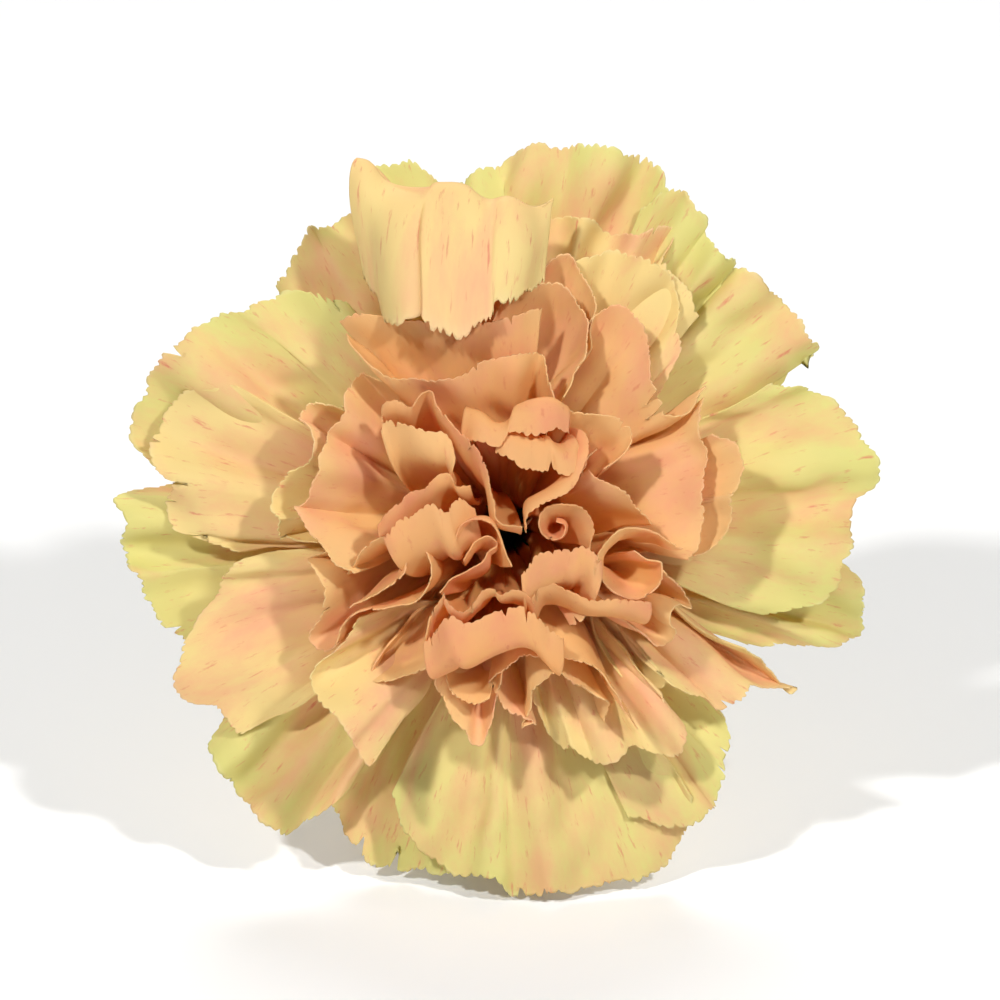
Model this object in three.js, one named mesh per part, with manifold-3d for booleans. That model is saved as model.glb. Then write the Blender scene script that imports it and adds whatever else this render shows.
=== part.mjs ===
// A cut carnation lying on its lower petals and the end of its stem.
// The bloom is drawn about its own axis: x to the right, y towards its upper side, z along the axis
// towards the face, and z = 0 at the tips of the calyx teeth. It is then leaned onto the surface.
import * as THREE from 'three';
import { mergeVertices } from 'three/addons/utils/BufferGeometryUtils.js';
import Module from 'manifold-3d';

const wasm = await Module();
wasm.setup();

// Driving dimensions, in millimetres and degrees
const bloomDiameter = 77;      // across the open petals
const drawnDiameter = 77;      // bloom diameter that the petal margins below are drawn for
const bloomDepth = 1;          // how far the margins stand above the calyx, against the drawing
const petalThickness = 0.4;
const clawWidth = 1.1;         // narrow foot of a petal, inside the calyx
const clearance = 0.35;        // gap kept between neighbouring pieces
const calyxLength = 30;
const calyxMouthRadius = 7.4;
const calyxBaseRadius = 6.3;
const calyxWall = 0.7;
const calyxTeeth = 5;
const toothLength = 6;
const bractLength = 10;
const bractWidth = 8.5;
const bractThickness = 0.5;
const bractCount = 4;
const bractOutline = [0.62, 0.95, 1, 0.8, 0.42, 0.06];   // widths from foot to tip, of the widest
const stemDiameter = 4;
const stemLength = 46;
const stemCutAngle = 40;       // slant of the cut, from square across
const ovaryRadius = 1.25;
const ovaryHeight = 9;
const styleDiameter = 0.7;
const styleLength = 32;
const styleSpread = 1.2;       // how far the tip of each style leans away from the other
const styleGap = 0.35;         // off the axis where a style is rooted, in style diameters
const styleParting = 0.8;      // and half-way up
const pressedDepth = 2.3;      // how far the surface presses the lower petals in
const overlapRise = 0.8;       // how far every other petal of a ring lies above its neighbours
const bladeSpread = 4;         // width of a blade at its first bend, in claw widths
const blendLength = 0.4;       // reach of the bend before the margin, as a share of the blade
const cupDraw = 0.55;          // how far a cupped blade draws in below its margin
const calyxHeel = 1.6;         // rounding at the foot of the calyx
const toothTip = 0.35;         // half the width left at the tip of a calyx tooth
const bractLift = 1.8;         // height of a bract's foot above the foot of the calyx
const stemCollar = 1.35;       // swelling where the stem meets the calyx, against the stem
const stemCollarLength = 4;

// How finely each piece is divided
const petalColumns = 6;
const calyxSides = 30;
const stemSides = 16;
const petalRows = [0, 0.22, 0.5, 0.78, 1];
const bractColumns = 4;
const ovarySides = 12;
const ovarySteps = 6;
const styleSteps = 8;
const styleSides = 6;

const colours = {
  guard: '#efe1a0',
  outer: '#f1dc9e',
  middle: '#efc98a',
  inner: '#e8b077',
  heart: '#dd9a5c',
  calyx: '#8fa56a',
  bract: '#9cab74',
  stem: '#7f9a63',
  pistil: '#c9cf94',
};

// Each ring's petals, from the back of the bloom to its heart. A margin is a free edge, from one
// side to the other, as points of [angle about the axis, distance from it, height]. "arrive" is the
// slope at which the blade reaches its margin: below 0 it droops, and 90 is upright. "throat" places
// the blade's first bend where it is cupped, and "belly" the two ends of a hooded blade's fold. The
// free edge of a crumpled petal is given across the axis instead, as "edge" points of [x, y, height].
// "comesFrom" is then the way from each of them to the blade's second bend, or "cup" the point that a
// rolled blade draws in to. A ring's "rise" is how far its blades climb out of the calyx before they
// open, and "flare" is how much they spread on the way.
const rings = [
  {
    name: 'guard_petal',
    rise: 6,
    flare: 0.55,
    colour: colours.guard,
    petals: [
      { arrive: -14, margin: [[341, 28, 6], [348, 33.4, 5.5], [355, 34.6, 6.5], [363, 35.4, 5],
        [367, 37.8, 4.5], [372, 38, 6], [378, 36.6, 5], [384, 34.4, 5.5], [389, 30, 7]] },
      { arrive: -10, margin: [[27, 30, 3], [28.5, 36.6, 3], [33, 36.2, 4.5], [39, 36.5, 3],
        [45, 35.6, 4.5], [49, 34.7, 3], [53, 31, 2]] },
      { arrive: 0, margin: [[46, 30, 5], [49, 35, 4], [52, 35.5, 6.5], [56, 36.4, 4.5], [60, 38, 5.5],
        [63.5, 38.8, 3.5], [67, 35, 3]] },
      { arrive: -8, margin: [[61, 33, 2], [65, 38.4, 2.5], [69, 40.2, 1], [74, 39.8, 2.5],
        [80, 39.3, 1], [86, 39, 2.5], [90, 37.4, 1.5], [95, 36.3, 3], [100, 34, 2]] },
      { arrive: -8, margin: [[99, 34, 2.5], [104, 38.2, 3.5], [109.5, 38.9, 2.5], [113, 36.5, 4],
        [118, 35.7, 3], [123, 36.2, 4], [128, 35, 2.5], [134, 33.3, 3], [139, 28, 2]] },
      { arrive: -12, margin: [[124, 25, 7], [129, 30.8, 6.5], [135, 33, 5], [141, 35, 5.5],
        [147, 37.2, 3.5], [153, 38.5, 4.5], [159, 39.4, 2.5], [165, 39.4, 1.5], [169, 37, 2],
        [172, 32, 2.5]] },
      { arrive: -10, margin: [[170, 32, 1], [175.5, 39.3, 1], [179, 38.6, 2.5], [183, 38.7, 1],
        [187, 38, 2.5], [191, 37, 1], [199, 35, 1], [203, 31, 1.5]] },
      { arrive: -10, margin: [[210, 31, 3], [216.5, 36.6, 2], [220, 37.6, 3.5], [224, 38.4, 2],
        [229, 38.2, 3.5], [234, 38.4, 2], [236, 35.8, 2.5], [239, 31, 3]] },
      { arrive: -10, margin: [[233, 30, 1], [240, 34.2, -1.5], [244, 35.5, -1], [248.5, 36.6, -1.4],
        [253, 36.7, -0.8], [257, 35.6, 0.5], [262, 35, 0.5], [266, 31, 1]] },
      { arrive: -16, margin: [[247, 29, 4], [253, 32.8, 3.5], [262, 35.6, 3], [267, 35.4, 4.5],
        [272, 37.2, 3], [277, 37.6, 4.5], [283, 37.2, 2.2], [290, 37.9, 0.8], [298, 37.4, 1],
        [305, 33, 3]] },
      { arrive: -8, margin: [[293, 32, 3.5], [300, 35, 3], [307, 35.6, 2], [312, 33, 4.5],
        [317, 31.5, 3.5], [322, 26, 5]] },
      { arrive: -25, margin: [[334, 28, 2], [341, 35.5, 0], [344, 38, -1.5], [348, 37, 1.5],
        [351, 36, 3], [357, 31, 3]] },
    ],
  },
  {
    name: 'outer_petal',
    rise: 8,
    flare: 0.4,
    colour: colours.outer,
    petals: [
      { arrive: 0, margin: [[47.5, 29, 8], [51.5, 30.3, 8.5], [59.5, 31.2, 8], [60.5, 34.8, 5.5],
        [65, 33, 7.5], [71, 31.8, 6], [76, 32.2, 7.5], [80.5, 32, 6], [87, 31, 7], [94, 27, 7]] },
      { arrive: 158, throat: [100, 10, 12], belly: [[82, 50, 12], [108, 62, 12]], margin: [
        [80.5, 24, 14.5], [86, 22, 17], [93, 21.8, 18.5], [95, 19.6, 19.5], [102, 18.7, 20.5],
        [110, 20.2, 20], [113, 21.8, 19], [116, 21.4, 19.5], [120, 23, 17], [121, 28, 12.5]] },
      { arrive: -12, margin: [[152, 31, 6.5], [158, 35.6, 5], [164, 36.6, 4], [169.5, 36.2, 5.5],
        [172.5, 34.2, 6], [177, 34.3, 4.5], [181, 32.6, 5.5], [185, 27, 6]] },
      { arrive: -14, margin: [[186, 23, 9.5], [188.5, 28, 9], [191.5, 29.6, 7.5], [197, 32.5, 7],
        [201, 35, 6], [207, 37, 5.5], [213.5, 34.2, 5.5], [218, 33.5, 5], [219.5, 28, 7]] },
      { arrive: -8, margin: [[308, 19, 10], [312.5, 22.5, 9], [317, 23, 10.5], [319, 28, 7],
        [324, 29.3, 8], [329, 30, 7], [330.5, 33.4, 3], [333, 27, 8]] },
      { arrive: -12, margin: [[279, 18, 11], [283.5, 22.6, 9.5], [287, 23.5, 11], [291, 25.1, 9.5],
        [296, 25.6, 10.5], [301, 25.8, 9.5], [305.5, 28.2, 8], [310, 28.3, 9], [312.5, 26, 9],
        [312.5, 21, 10.5]] },
      { arrive: 10, margin: [[40.5, 20.6, 11], [44.5, 24.5, 10], [50, 27, 10.5], [56, 30, 9],
        [62, 30.8, 10.5], [70, 29.5, 9], [79, 27, 10], [84, 22, 10]] },
      { arrive: 30, margin: [[211, 17, 15.5], [214.5, 20.5, 15], [217, 23.5, 15], [221, 25.3, 15.5],
        [225, 25.6, 16], [233, 25.6, 17], [236.5, 26.6, 16.5], [241, 27.4, 15.5], [236.5, 25, 14.5],
        [230, 22.5, 13], [228, 19.5, 12]] },
      { arrive: 35, margin: [[141, 19, 13], [147.5, 23.2, 12], [153, 23.8, 12.5], [156, 22, 14],
        [158.5, 20.8, 14], [162, 21.2, 13], [166.5, 22.5, 13], [173, 23.2, 12.5], [178, 22.4, 14],
        [182.5, 23, 11.5], [185, 19, 12]] },
    ],
  },
  {
    name: 'middle_petal',
    rise: 10,
    flare: 0.3,
    colour: colours.middle,
    petals: [
      { arrive: 40, margin: [[65.5, 20, 13], [69, 23.6, 13], [73.5, 26.8, 12.5], [76.5, 28.2, 12],
        [80.5, 27, 12.5], [84, 23, 12.5]] },
      { arrive: 30, margin: [[34.5, 24.4, 12.5], [33.8, 21.6, 14], [36, 19.8, 15], [42, 20.2, 14.5],
        [47, 21.3, 14], [52, 23.3, 13.5], [57, 24.5, 13], [62, 25.3, 13.5], [67, 24, 13],
        [69, 20, 13]] },
      { arrive: 35, margin: [[352, 19, 14], [357, 21.8, 14.5], [362.5, 22.8, 15], [367.5, 22.4, 16],
        [370, 23, 16], [374.5, 24.9, 14.5], [380, 25, 14], [385, 23, 13.5]] },
      { arrive: 42, margin: [[128, 18, 17], [132, 21.2, 15], [138, 21, 16], [144, 20, 17],
        [152, 20.4, 16], [158, 19.6, 17.5], [163, 19.2, 17.5], [170, 20, 16.5], [174, 21.4, 15.5],
        [178, 20.6, 16.5], [183, 19, 17], [190, 17.8, 17.5], [197, 15.8, 17]] },
      { arrive: 30, margin: [[185, 17.5, 15], [188.5, 20.2, 14], [193, 19.6, 15], [200, 19.8, 14.5],
        [206, 21.3, 13.5], [210.5, 22.4, 12.5], [213.5, 21.6, 13], [214, 18.5, 14]] },
      { arrive: 30, margin: [[225.5, 19, 13.5], [228, 21.4, 13], [233, 18.2, 15.5], [238, 16.3, 16.5],
        [243, 15.9, 17], [248, 17.4, 16.5], [254, 19, 16], [259, 20.6, 15], [263.5, 21.5, 14.5],
        [267.5, 17, 15.5]] },
      { arrive: 32, margin: [[266, 15, 15], [270, 17.6, 15], [274, 19.2, 14], [277.5, 20.5, 13],
        [278.5, 18, 15], [281.5, 16.2, 16.5], [287, 15.6, 17], [292, 15.8, 16.5], [296.5, 17.6, 15.5],
        [299.8, 20.2, 14.5], [296.8, 21.8, 13]] },
      { arrive: 32, margin: [[346, 15, 16], [343, 17.2, 15.5], [337.5, 20.3, 13.5], [334, 19, 15],
        [330.4, 20.1, 14], [325, 20.2, 13.5], [322.5, 17.5, 15.5], [320.5, 14.5, 17],
        [316.5, 12.3, 18], [309, 12, 18], [304, 11.6, 17]] },
      { arrive: 38, margin: [[350, 18.6, 15], [356, 19.7, 16], [362, 19.6, 16.5], [368, 19.6, 17],
        [374, 20, 16.5], [380, 21.2, 15.5], [387, 21.6, 15], [393.5, 24, 13]] },
      { arrive: 46, margin: [[67, 14.5, 17], [64.5, 16.8, 16], [65.5, 18.9, 15.5], [69, 21.6, 15],
        [74, 23.9, 14.5], [79, 24.9, 14.5], [84, 24.2, 15], [90, 22, 15.5], [97, 19, 16]] },
    ],
  },
  {
    name: 'inner_petal',
    rise: 11,
    flare: 0.22,
    colour: colours.inner,
    petals: [
      { arrive: 24, margin: [[128.5, 26.4, 15.5], [124.5, 26, 16.5], [118, 24, 16.5], [110, 22, 17],
        [101, 21, 17], [93, 20.6, 17], [87, 21.4, 16.5], [80.5, 22.4, 16]] },
      { arrive: 42, edge: [[-15.6, 19.6, 17], [-14.8, 17.6, 18], [-12.2, 15.4, 19], [-8.6, 14.6, 19.5],
        [-6.4, 14.9, 20], [-4.2, 15.6, 20], [-1.9, 16.7, 20], [1.2, 17.3, 20], [3.4, 17.4, 19],
        [4.3, 14.9, 19.5], [5.6, 12.5, 20], [7.4, 11.7, 20.5], [9.6, 11.4, 20], [12.3, 10, 19],
        [12.2, 8.2, 19], [9.8, 6, 19.5]] },
      { comesFrom: [0.8, -6.4, -1.6], edge: [[-12.3, 9.8, 19.5], [-11.6, 10.9, 20.3], [-9.3, 10.3, 21],
        [-7.3, 9.7, 21.3], [-6, 9.6, 21.3], [-5.2, 8.5, 21.3], [-4.9, 7.2, 21]] },
      { cup: [-12.6, -4, 12], edge: [[-15.6, -4.6, 16], [-14.8, -2.9, 17.5], [-13.3, -1.3, 18.7],
        [-11.3, -0.6, 19.5], [-10.2, -1.8, 20], [-9.9, -3.3, 20], [-10.8, -5.3, 19.5],
        [-12.6, -6.4, 18.5], [-14.8, -7.1, 17.5], [-15.5, -7.8, 17]] },
      { comesFrom: [2, 1.6, -6], edge: [[-9.5, -2.4, 18.5], [-8.4, -1.9, 20], [-7.5, -4.2, 20.5],
        [-7.9, -6, 20], [-9.3, -7.5, 19.5], [-11.7, -8, 18.5], [-13.9, -8.4, 17.5],
        [-15.3, -9.5, 16.5], [-16.6, -11.8, 15]] },
      { arrive: 48, margin: [[243, 13, 17], [247, 15, 17], [252, 17, 16.5], [257, 18.2, 16],
        [261, 18.3, 16], [265, 17.4, 16.5], [268.5, 15.8, 16.5], [270, 13.5, 17]] },
      { arrive: 48, margin: [[264, 15.4, 16.5], [267, 14.2, 17.5], [273, 13.3, 18.5], [282, 13, 19],
        [292, 13.5, 18.5], [299.5, 15, 18], [304, 17.6, 17], [304.5, 20, 16], [302.5, 21.8, 15],
        [302.5, 24, 13]] },
      { cup: [13, -3.4, 13], edge: [[17.6, -1.8, 18], [15.8, -0.8, 19], [13.2, 0.2, 20],
        [11.2, 0.2, 20.5], [9.8, -1.2, 20.5], [9.3, -3.2, 20.5], [9.9, -5.4, 20], [11.9, -6.8, 19.5],
        [14.1, -6.5, 19], [15.8, -5.1, 19], [15.6, -3.2, 19.5], [14, -3, 19.5], [12.8, -2, 19.5]] },
      { arrive: 48, margin: [[361, 14.6, 18.5], [368, 13.6, 19.5], [376.5, 12.2, 21],
        [384.5, 10.9, 21], [390, 10.3, 21], [397, 10.6, 20.5], [399, 12.2, 19]] },
    ],
  },
  {
    name: 'heart_petal',
    rise: 12,
    flare: 0.16,
    colour: colours.heart,
    petals: [
      { comesFrom: [-0.6, -2.6, -3], edge: [[-12.4, 10.3, 19], [-12.2, 12.4, 19.5], [-10.6, 12.7, 20],
        [-9.1, 11.9, 20.5], [-7.4, 13.4, 21], [-6.3, 11.8, 22], [-4.6, 9.4, 22.5], [-2.8, 7.9, 22.5],
        [-1.3, 5.6, 22.5], [-1, 2.2, 22.5], [-0.3, 0.9, 22.3], [1.7, 0.4, 22]] },
      { throat: [88, 3, 13], comesFrom: [0, 9.4, 1], edge: [[-4.2, 8.9, 20.5], [-2.4, 8.3, 22],
        [-1.2, 7.7, 22.5], [-0.4, 8, 22.7], [0.5, 9.1, 22.8], [2.2, 9, 22.8], [3.6, 9.1, 22.6],
        [5.2, 9.5, 22], [6.2, 9, 21]] },
      { throat: [90, 3.5, 13], comesFrom: [0.6, 8.6, 0.2], edge: [[-0.9, 7.2, 21.5], [0.6, 6.4, 22],
        [1.6, 5.7, 22.3], [2.9, 5.6, 22.3], [3.9, 5.3, 22.3], [4.6, 5.7, 22], [5.3, 5.2, 22],
        [6.6, 5, 21.5], [7.3, 6.2, 20.8]] },
      { comesFrom: [-1.8, 2.4, -1.6], edge: [[2.2, -0.5, 21], [2.7, 1.2, 21.5], [4.2, 2.3, 22],
        [5.6, 3.2, 22.2], [6.9, 4.4, 22.3], [7.7, 6.1, 22], [8.3, 7.4, 21.5], [7.9, 9.2, 20.5]] },
      { cup: [5.2, 0.2, 15], edge: [[8.3, -2.2, 20], [8.5, -0.5, 20.5], [8.1, 1.3, 21],
        [6.9, 2.4, 21.3], [5.3, 2.5, 21.5], [3.8, 1.7, 21.3], [3.6, -0.1, 21], [4.4, -1.2, 20.7],
        [5.7, -1, 20.7], [6, 0.2, 20.5], [5, 0.7, 20.3]] },
      { comesFrom: [2.5, -9.5, -1], edge: [[-11.9, -0.5, 20.5], [-10.8, 0.9, 21.3], [-9.3, 1.6, 21.7],
        [-7.3, 2.5, 22], [-5.8, 1.9, 22], [-5.3, 2.8, 22], [-4.3, 3.3, 22], [-3, 2.3, 21.5]] },
      { comesFrom: [0.6, -4.8, -2.4], edge: [[-12.5, 0.4, 20], [-11.2, 2, 20.7], [-9.7, 3.7, 21],
        [-8, 4.2, 21.3], [-7.2, 4.8, 21.3], [-5.8, 5.4, 21.3], [-4.9, 4.4, 21.3], [-3.4, 4.3, 21]] },
      { comesFrom: [1.4, 0.9, -2], edge: [[-5.1, -2.6, 21], [-4.4, -0.6, 22], [-3.2, 0.2, 22.3],
        [-1.9, 0.3, 22.4], [-0.7, -0.7, 22.4], [-0.1, -2.1, 22.2], [0.5, -3.8, 21.5]] },
      { comesFrom: [0.2, -0.8, -3], edge: [[-4.2, -3, 20.8], [-3.2, -1.4, 21.4], [-1.7, -0.8, 21.7],
        [-0.9, -1.5, 21.6], [-1.8, -2.1, 21.3], [-2.2, -3.4, 21.3], [-3.6, -4.6, 21.4],
        [-5.4, -5.2, 21.4], [-6.3, -6.4, 20.8]] },
      { comesFrom: [0, -4, -2.6], edge: [[-8, -10.6, 20], [-7.3, -8.2, 21], [-6, -5.8, 22],
        [-5.1, -7.5, 21.5], [-4.1, -8.2, 21], [-3, -6.9, 21.5], [-2.3, -5.8, 21.8], [-1, -5.6, 21.8],
        [-0.5, -6.4, 21.5], [0.8, -6.1, 21.5], [2, -6.4, 21.3], [2.9, -7.4, 20.6]] },
      { comesFrom: [0, -12, 0.4], edge: [[-8.1, -11, 19.5], [-5.7, -8.5, 21], [-4.3, -9, 21.3],
        [-3, -8.8, 21.5], [-1, -7.7, 21.8], [0.7, -7.3, 21.9], [2, -7.7, 21.8], [3.1, -8.4, 21.5],
        [4.4, -9.6, 21], [5.6, -10.2, 20]] },
      { comesFrom: [0.3, -10, -1], edge: [[1.6, -4.4, 21], [2.9, -2.6, 21.6], [4.4, -1.9, 21.9],
        [5.5, -1.6, 22], [6.5, -1.8, 22], [7.6, -1.5, 22], [8.5, -1.9, 21.7], [9.4, -3.6, 21]] },
      { throat: [310, 7, 12], comesFrom: [0.2, -4.6, -2.2], edge: [[2.3, -7, 20], [3.4, -5.3, 21],
        [4.6, -5.4, 21], [6.3, -6.2, 20.8], [8.1, -6.9, 20.5], [10.2, -6.9, 20.3], [12.4, -6.8, 20],
        [14.3, -7.2, 19]] },
    ],
  },
];

const radians = THREE.MathUtils.degToRad;
const axisUp = new THREE.Vector3(0, 0, 1);

const aroundAxis = (angle, radius, height) =>
  new THREE.Vector3(radius * Math.cos(radians(angle)), radius * Math.sin(radians(angle)), height);

const outwards = (angle) => aroundAxis(angle, 1, 0);

const sidewards = (angle) => aroundAxis(angle + 90, 1, 0);

// Margin points grow with the bloom
const grown = bloomDiameter / drawnDiameter;
const drawn = ([angle, radius, height]) =>
  aroundAxis(angle, radius * grown, height * grown * bloomDepth);

const drawnAcross = ([x, y, height]) =>
  new THREE.Vector3(x * grown, y * grown, height * grown * bloomDepth);

const marginOf = (petal) => (petal.edge ? petal.edge.map(drawnAcross) : petal.margin.map(drawn));

// A thin closed solid over a grid of points, "half" thick to each side and "grow" wider all round
const sheet = (grid, half, grow) => {
  const rows = grid.length;
  const columns = grid[0].length;
  const middle = grid.map((row) => row.map((point) => point.clone()));
  const push = (row, column, fromRow, fromColumn) => {
    const step = grid[row][column].clone().sub(grid[fromRow][fromColumn]).normalize();
    middle[row][column].addScaledVector(step, grow);
  };
  for (let column = 0; column < columns; column++) {
    push(0, column, 1, column);
    push(rows - 1, column, rows - 2, column);
  }
  for (let row = 0; row < rows; row++) {
    push(row, 0, row, 1);
    push(row, columns - 1, row, columns - 2);
  }
  const positions = [];
  for (const side of [1, -1]) {
    for (let row = 0; row < rows; row++) {
      for (let column = 0; column < columns; column++) {
        const along = middle[Math.min(row + 1, rows - 1)][column].clone();
        along.sub(middle[Math.max(row - 1, 0)][column]);
        const across = middle[row][Math.min(column + 1, columns - 1)].clone();
        across.sub(middle[row][Math.max(column - 1, 0)]);
        const normal = across.cross(along).normalize();
        positions.push(...middle[row][column].clone().addScaledVector(normal, side * half).toArray());
      }
    }
  }
  const indices = [];
  const at = (row, column, layer) => (layer * rows + row) * columns + column;
  const quad = (a, b, c, d) => indices.push(a, b, c, a, c, d);
  for (let row = 0; row < rows - 1; row++) {
    for (let column = 0; column < columns - 1; column++) {
      quad(at(row, column, 0), at(row, column + 1, 0), at(row + 1, column + 1, 0), at(row + 1, column, 0));
      quad(at(row, column, 1), at(row + 1, column, 1), at(row + 1, column + 1, 1), at(row, column + 1, 1));
    }
    quad(at(row, 0, 0), at(row + 1, 0, 0), at(row + 1, 0, 1), at(row, 0, 1));
    const last = columns - 1;
    quad(at(row, last, 0), at(row, last, 1), at(row + 1, last, 1), at(row + 1, last, 0));
  }
  for (let column = 0; column < columns - 1; column++) {
    quad(at(0, column, 0), at(0, column, 1), at(0, column + 1, 1), at(0, column + 1, 0));
    const last = rows - 1;
    quad(at(last, column, 0), at(last, column + 1, 0), at(last, column + 1, 1), at(last, column, 1));
  }
  const geometry = new THREE.BufferGeometry();
  geometry.setAttribute('position', new THREE.Float32BufferAttribute(positions, 3));
  geometry.setIndex(indices);
  return geometry;
};

const toSolid = (geometry) => {
  const vertProperties = new Float32Array(geometry.attributes.position.array);
  const triVerts = new Uint32Array(geometry.index.array);
  return new wasm.Manifold(new wasm.Mesh({ numProp: 3, vertProperties, triVerts }));
};

const toGeometry = (solid) => {
  const mesh = solid.getMesh();
  const geometry = new THREE.BufferGeometry();
  geometry.setAttribute('position', new THREE.BufferAttribute(mesh.vertProperties, 3));
  geometry.setIndex(new THREE.BufferAttribute(mesh.triVerts, 1));
  return geometry;
};

const largestPiece = (solid) =>
  solid.decompose().reduce((best, piece) => (piece.volume() > best.volume() ? piece : best));

// The surface it lies on passes under the pressed petals and the lower edge of the stem's cut end
const wholeLength = calyxLength + stemLength;
const pressedRadius = bloomDiameter / 2 - pressedDepth;
const lean = Math.atan2(pressedRadius - stemDiameter / 2, wholeLength);
const upwards = new THREE.Vector3(0, Math.cos(lean), Math.sin(lean));
const surfaceHeight = -pressedRadius * Math.cos(lean);

const restOnSurface = (point, half) => {
  const short = surfaceHeight + half - point.dot(upwards);
  return short > 0 ? point.addScaledVector(upwards, short) : point;
};

// Rings of claws fill the calyx between its wall and the pistil
const calyxFloor = -calyxLength + calyxWall;
const outerClawAt = (outside) => outside - calyxWall - clearance - petalThickness / 2;
const innerClawAtFoot = ovaryRadius + clearance + petalThickness / 2;
const clawPitch = (outerClawAt(calyxBaseRadius) - innerClawAtFoot) / (rings.length - 1);
const clawRadii = (ring) => ({
  foot: outerClawAt(calyxBaseRadius) - ring * clawPitch,
  mouth: outerClawAt(calyxMouthRadius) - ring * clawPitch,
});

const bezier = (points, t) => {
  const s = 1 - t;
  const shares = [s * s * s, 3 * s * s * t, 3 * s * t * t, t * t * t];
  return points.reduce((sum, point, i) => sum.addScaledVector(point, shares[i]), new THREE.Vector3());
};

// Part of the way from one bend to another
const between = ([first, last], share) =>
  drawn(first.map((value, i) => THREE.MathUtils.lerp(value, last[i], share)));

// Grid of points over a petal's middle surface, from the foot of its claw to its margin
const petalGrid = (petal, ring, ringIndex, place, clawRoom, half) => {
  const clawAngle = place.angle;
  const edge = new THREE.CatmullRomCurve3(marginOf(petal), false, 'catmullrom', 0.5);
  const radii = clawRadii(ringIndex);
  const first = edge.getPointAt(0);
  const last = edge.getPointAt(1);
  const side = sidewards(clawAngle);
  const turned = last.clone().sub(first).dot(side) < 0 ? -1 : 1;
  const slope = radians(petal.arrive ?? 90);
  const footWidth = Math.min(clawWidth, clawRoom);
  const rows = petalRows.map(() => []);
  const foot = [];
  for (let column = 0; column <= petalColumns; column++) {
    const v = column / petalColumns;
    const across = (v - 0.5) * turned;
    const tip = edge.getPointAt(v);
    const claw = aroundAxis(clawAngle, radii.mouth, 0).addScaledVector(side, across * footWidth);
    const reach = tip.clone().setZ(0).normalize();
    const rise = claw.clone().addScaledVector(axisUp, ring.rise);
    rise.addScaledVector(outwards(clawAngle), ring.rise * ring.flare);
    rise.addScaledVector(axisUp, place.raised);
    const bend = petal.throat ? drawn(petal.throat) : rise;
    bend.addScaledVector(side, across * clawWidth * bladeSpread);
    const back = tip.distanceTo(claw) * blendLength;
    const shoulder = petal.belly ? between(petal.belly, v) : tip.clone();
    if (petal.comesFrom) {
      shoulder.add(drawnAcross(petal.comesFrom));
    } else if (petal.cup) {
      shoulder.lerp(drawnAcross(petal.cup), cupDraw);
    } else if (!petal.belly) {
      shoulder.addScaledVector(reach, -back * Math.cos(slope));
      shoulder.addScaledVector(axisUp, place.raised - back * Math.sin(slope));
    }
    const narrow = aroundAxis(clawAngle, radii.foot, calyxFloor + clearance);
    foot.push(narrow.addScaledVector(side, across * footWidth));
    petalRows.forEach((t, i) => rows[i].push(restOnSurface(bezier([claw, bend, shoulder, tip], t), half)));
  }
  return [foot, ...rows];
};

// Claws stand evenly round their ring, turned to lie as near as they can below their own blades
const clawPlaces = (petals) => {
  const centres = petals.map((petal, index) => {
    const sum = marginOf(petal).reduce((total, point) => total.add(point), new THREE.Vector3());
    return { index, angle: (THREE.MathUtils.radToDeg(Math.atan2(sum.y, sum.x)) + 360) % 360 };
  });
  centres.sort((a, b) => a.angle - b.angle);
  const step = 360 / petals.length;
  const offsets = centres.map((centre, order) => centre.angle - order * step);
  const turn = offsets.reduce((sum, offset) => sum + offset, 0) / petals.length;
  const places = [];
  centres.forEach((centre, order) => {
    places[centre.index] = { angle: turn + order * step, raised: (order % 2) * overlapRise };
  });
  return places;
};

const bloom = new THREE.Group();

const addPiece = (name, geometry, colour, roughness) => {
  geometry.computeVertexNormals();
  const material = new THREE.MeshStandardMaterial({ color: colour, roughness, metalness: 0 });
  const mesh = new THREE.Mesh(geometry, material);
  mesh.name = name;
  bloom.add(mesh);
};

const welded = (geometry) => {
  geometry.deleteAttribute('normal');
  geometry.deleteAttribute('uv');
  return mergeVertices(geometry, 1e-4);
};

// A solid of revolution, from its outline of [radius, height]
const lathe = (outline, sides) => {
  const points = outline.map(([radius, height]) => new THREE.Vector2(radius, height));
  const turned = new THREE.LatheGeometry(points, sides);
  turned.rotateX(Math.PI / 2);
  return toSolid(welded(turned));
};

// The ovary and its two styles grew as one
const pistilSolid = () => {
  const foot = calyxFloor + clearance;
  const top = foot + ovaryHeight;
  const outline = [[0, foot]];
  for (let step = 1; step < ovarySteps; step++) {
    const share = step / ovarySteps;
    outline.push([ovaryRadius * Math.sin(Math.PI * share) ** 0.5, foot + ovaryHeight * share]);
  }
  outline.push([0, top]);
  let pistil = lathe(outline, ovarySides);
  for (const side of [-1, 1]) {
    const rooted = new THREE.Vector3(side * styleDiameter * styleGap, 0, top - ovaryHeight / 4);
    const risen = new THREE.Vector3(side * styleDiameter * styleParting, 0, top + styleLength / 2);
    const curled = new THREE.Vector3(side * (styleDiameter + styleSpread), 0, top + styleLength);
    const path = new THREE.CatmullRomCurve3([rooted, risen, curled]);
    const section = new THREE.Shape().absarc(0, 0, styleDiameter / 2, 0, 2 * Math.PI, false);
    const options = {
      extrudePath: path,
      steps: styleSteps,
      curveSegments: styleSides,
      bevelEnabled: false,
    };
    pistil = pistil.add(toSolid(welded(new THREE.ExtrudeGeometry(section, options))));
  }
  return pistil;
};

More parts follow.
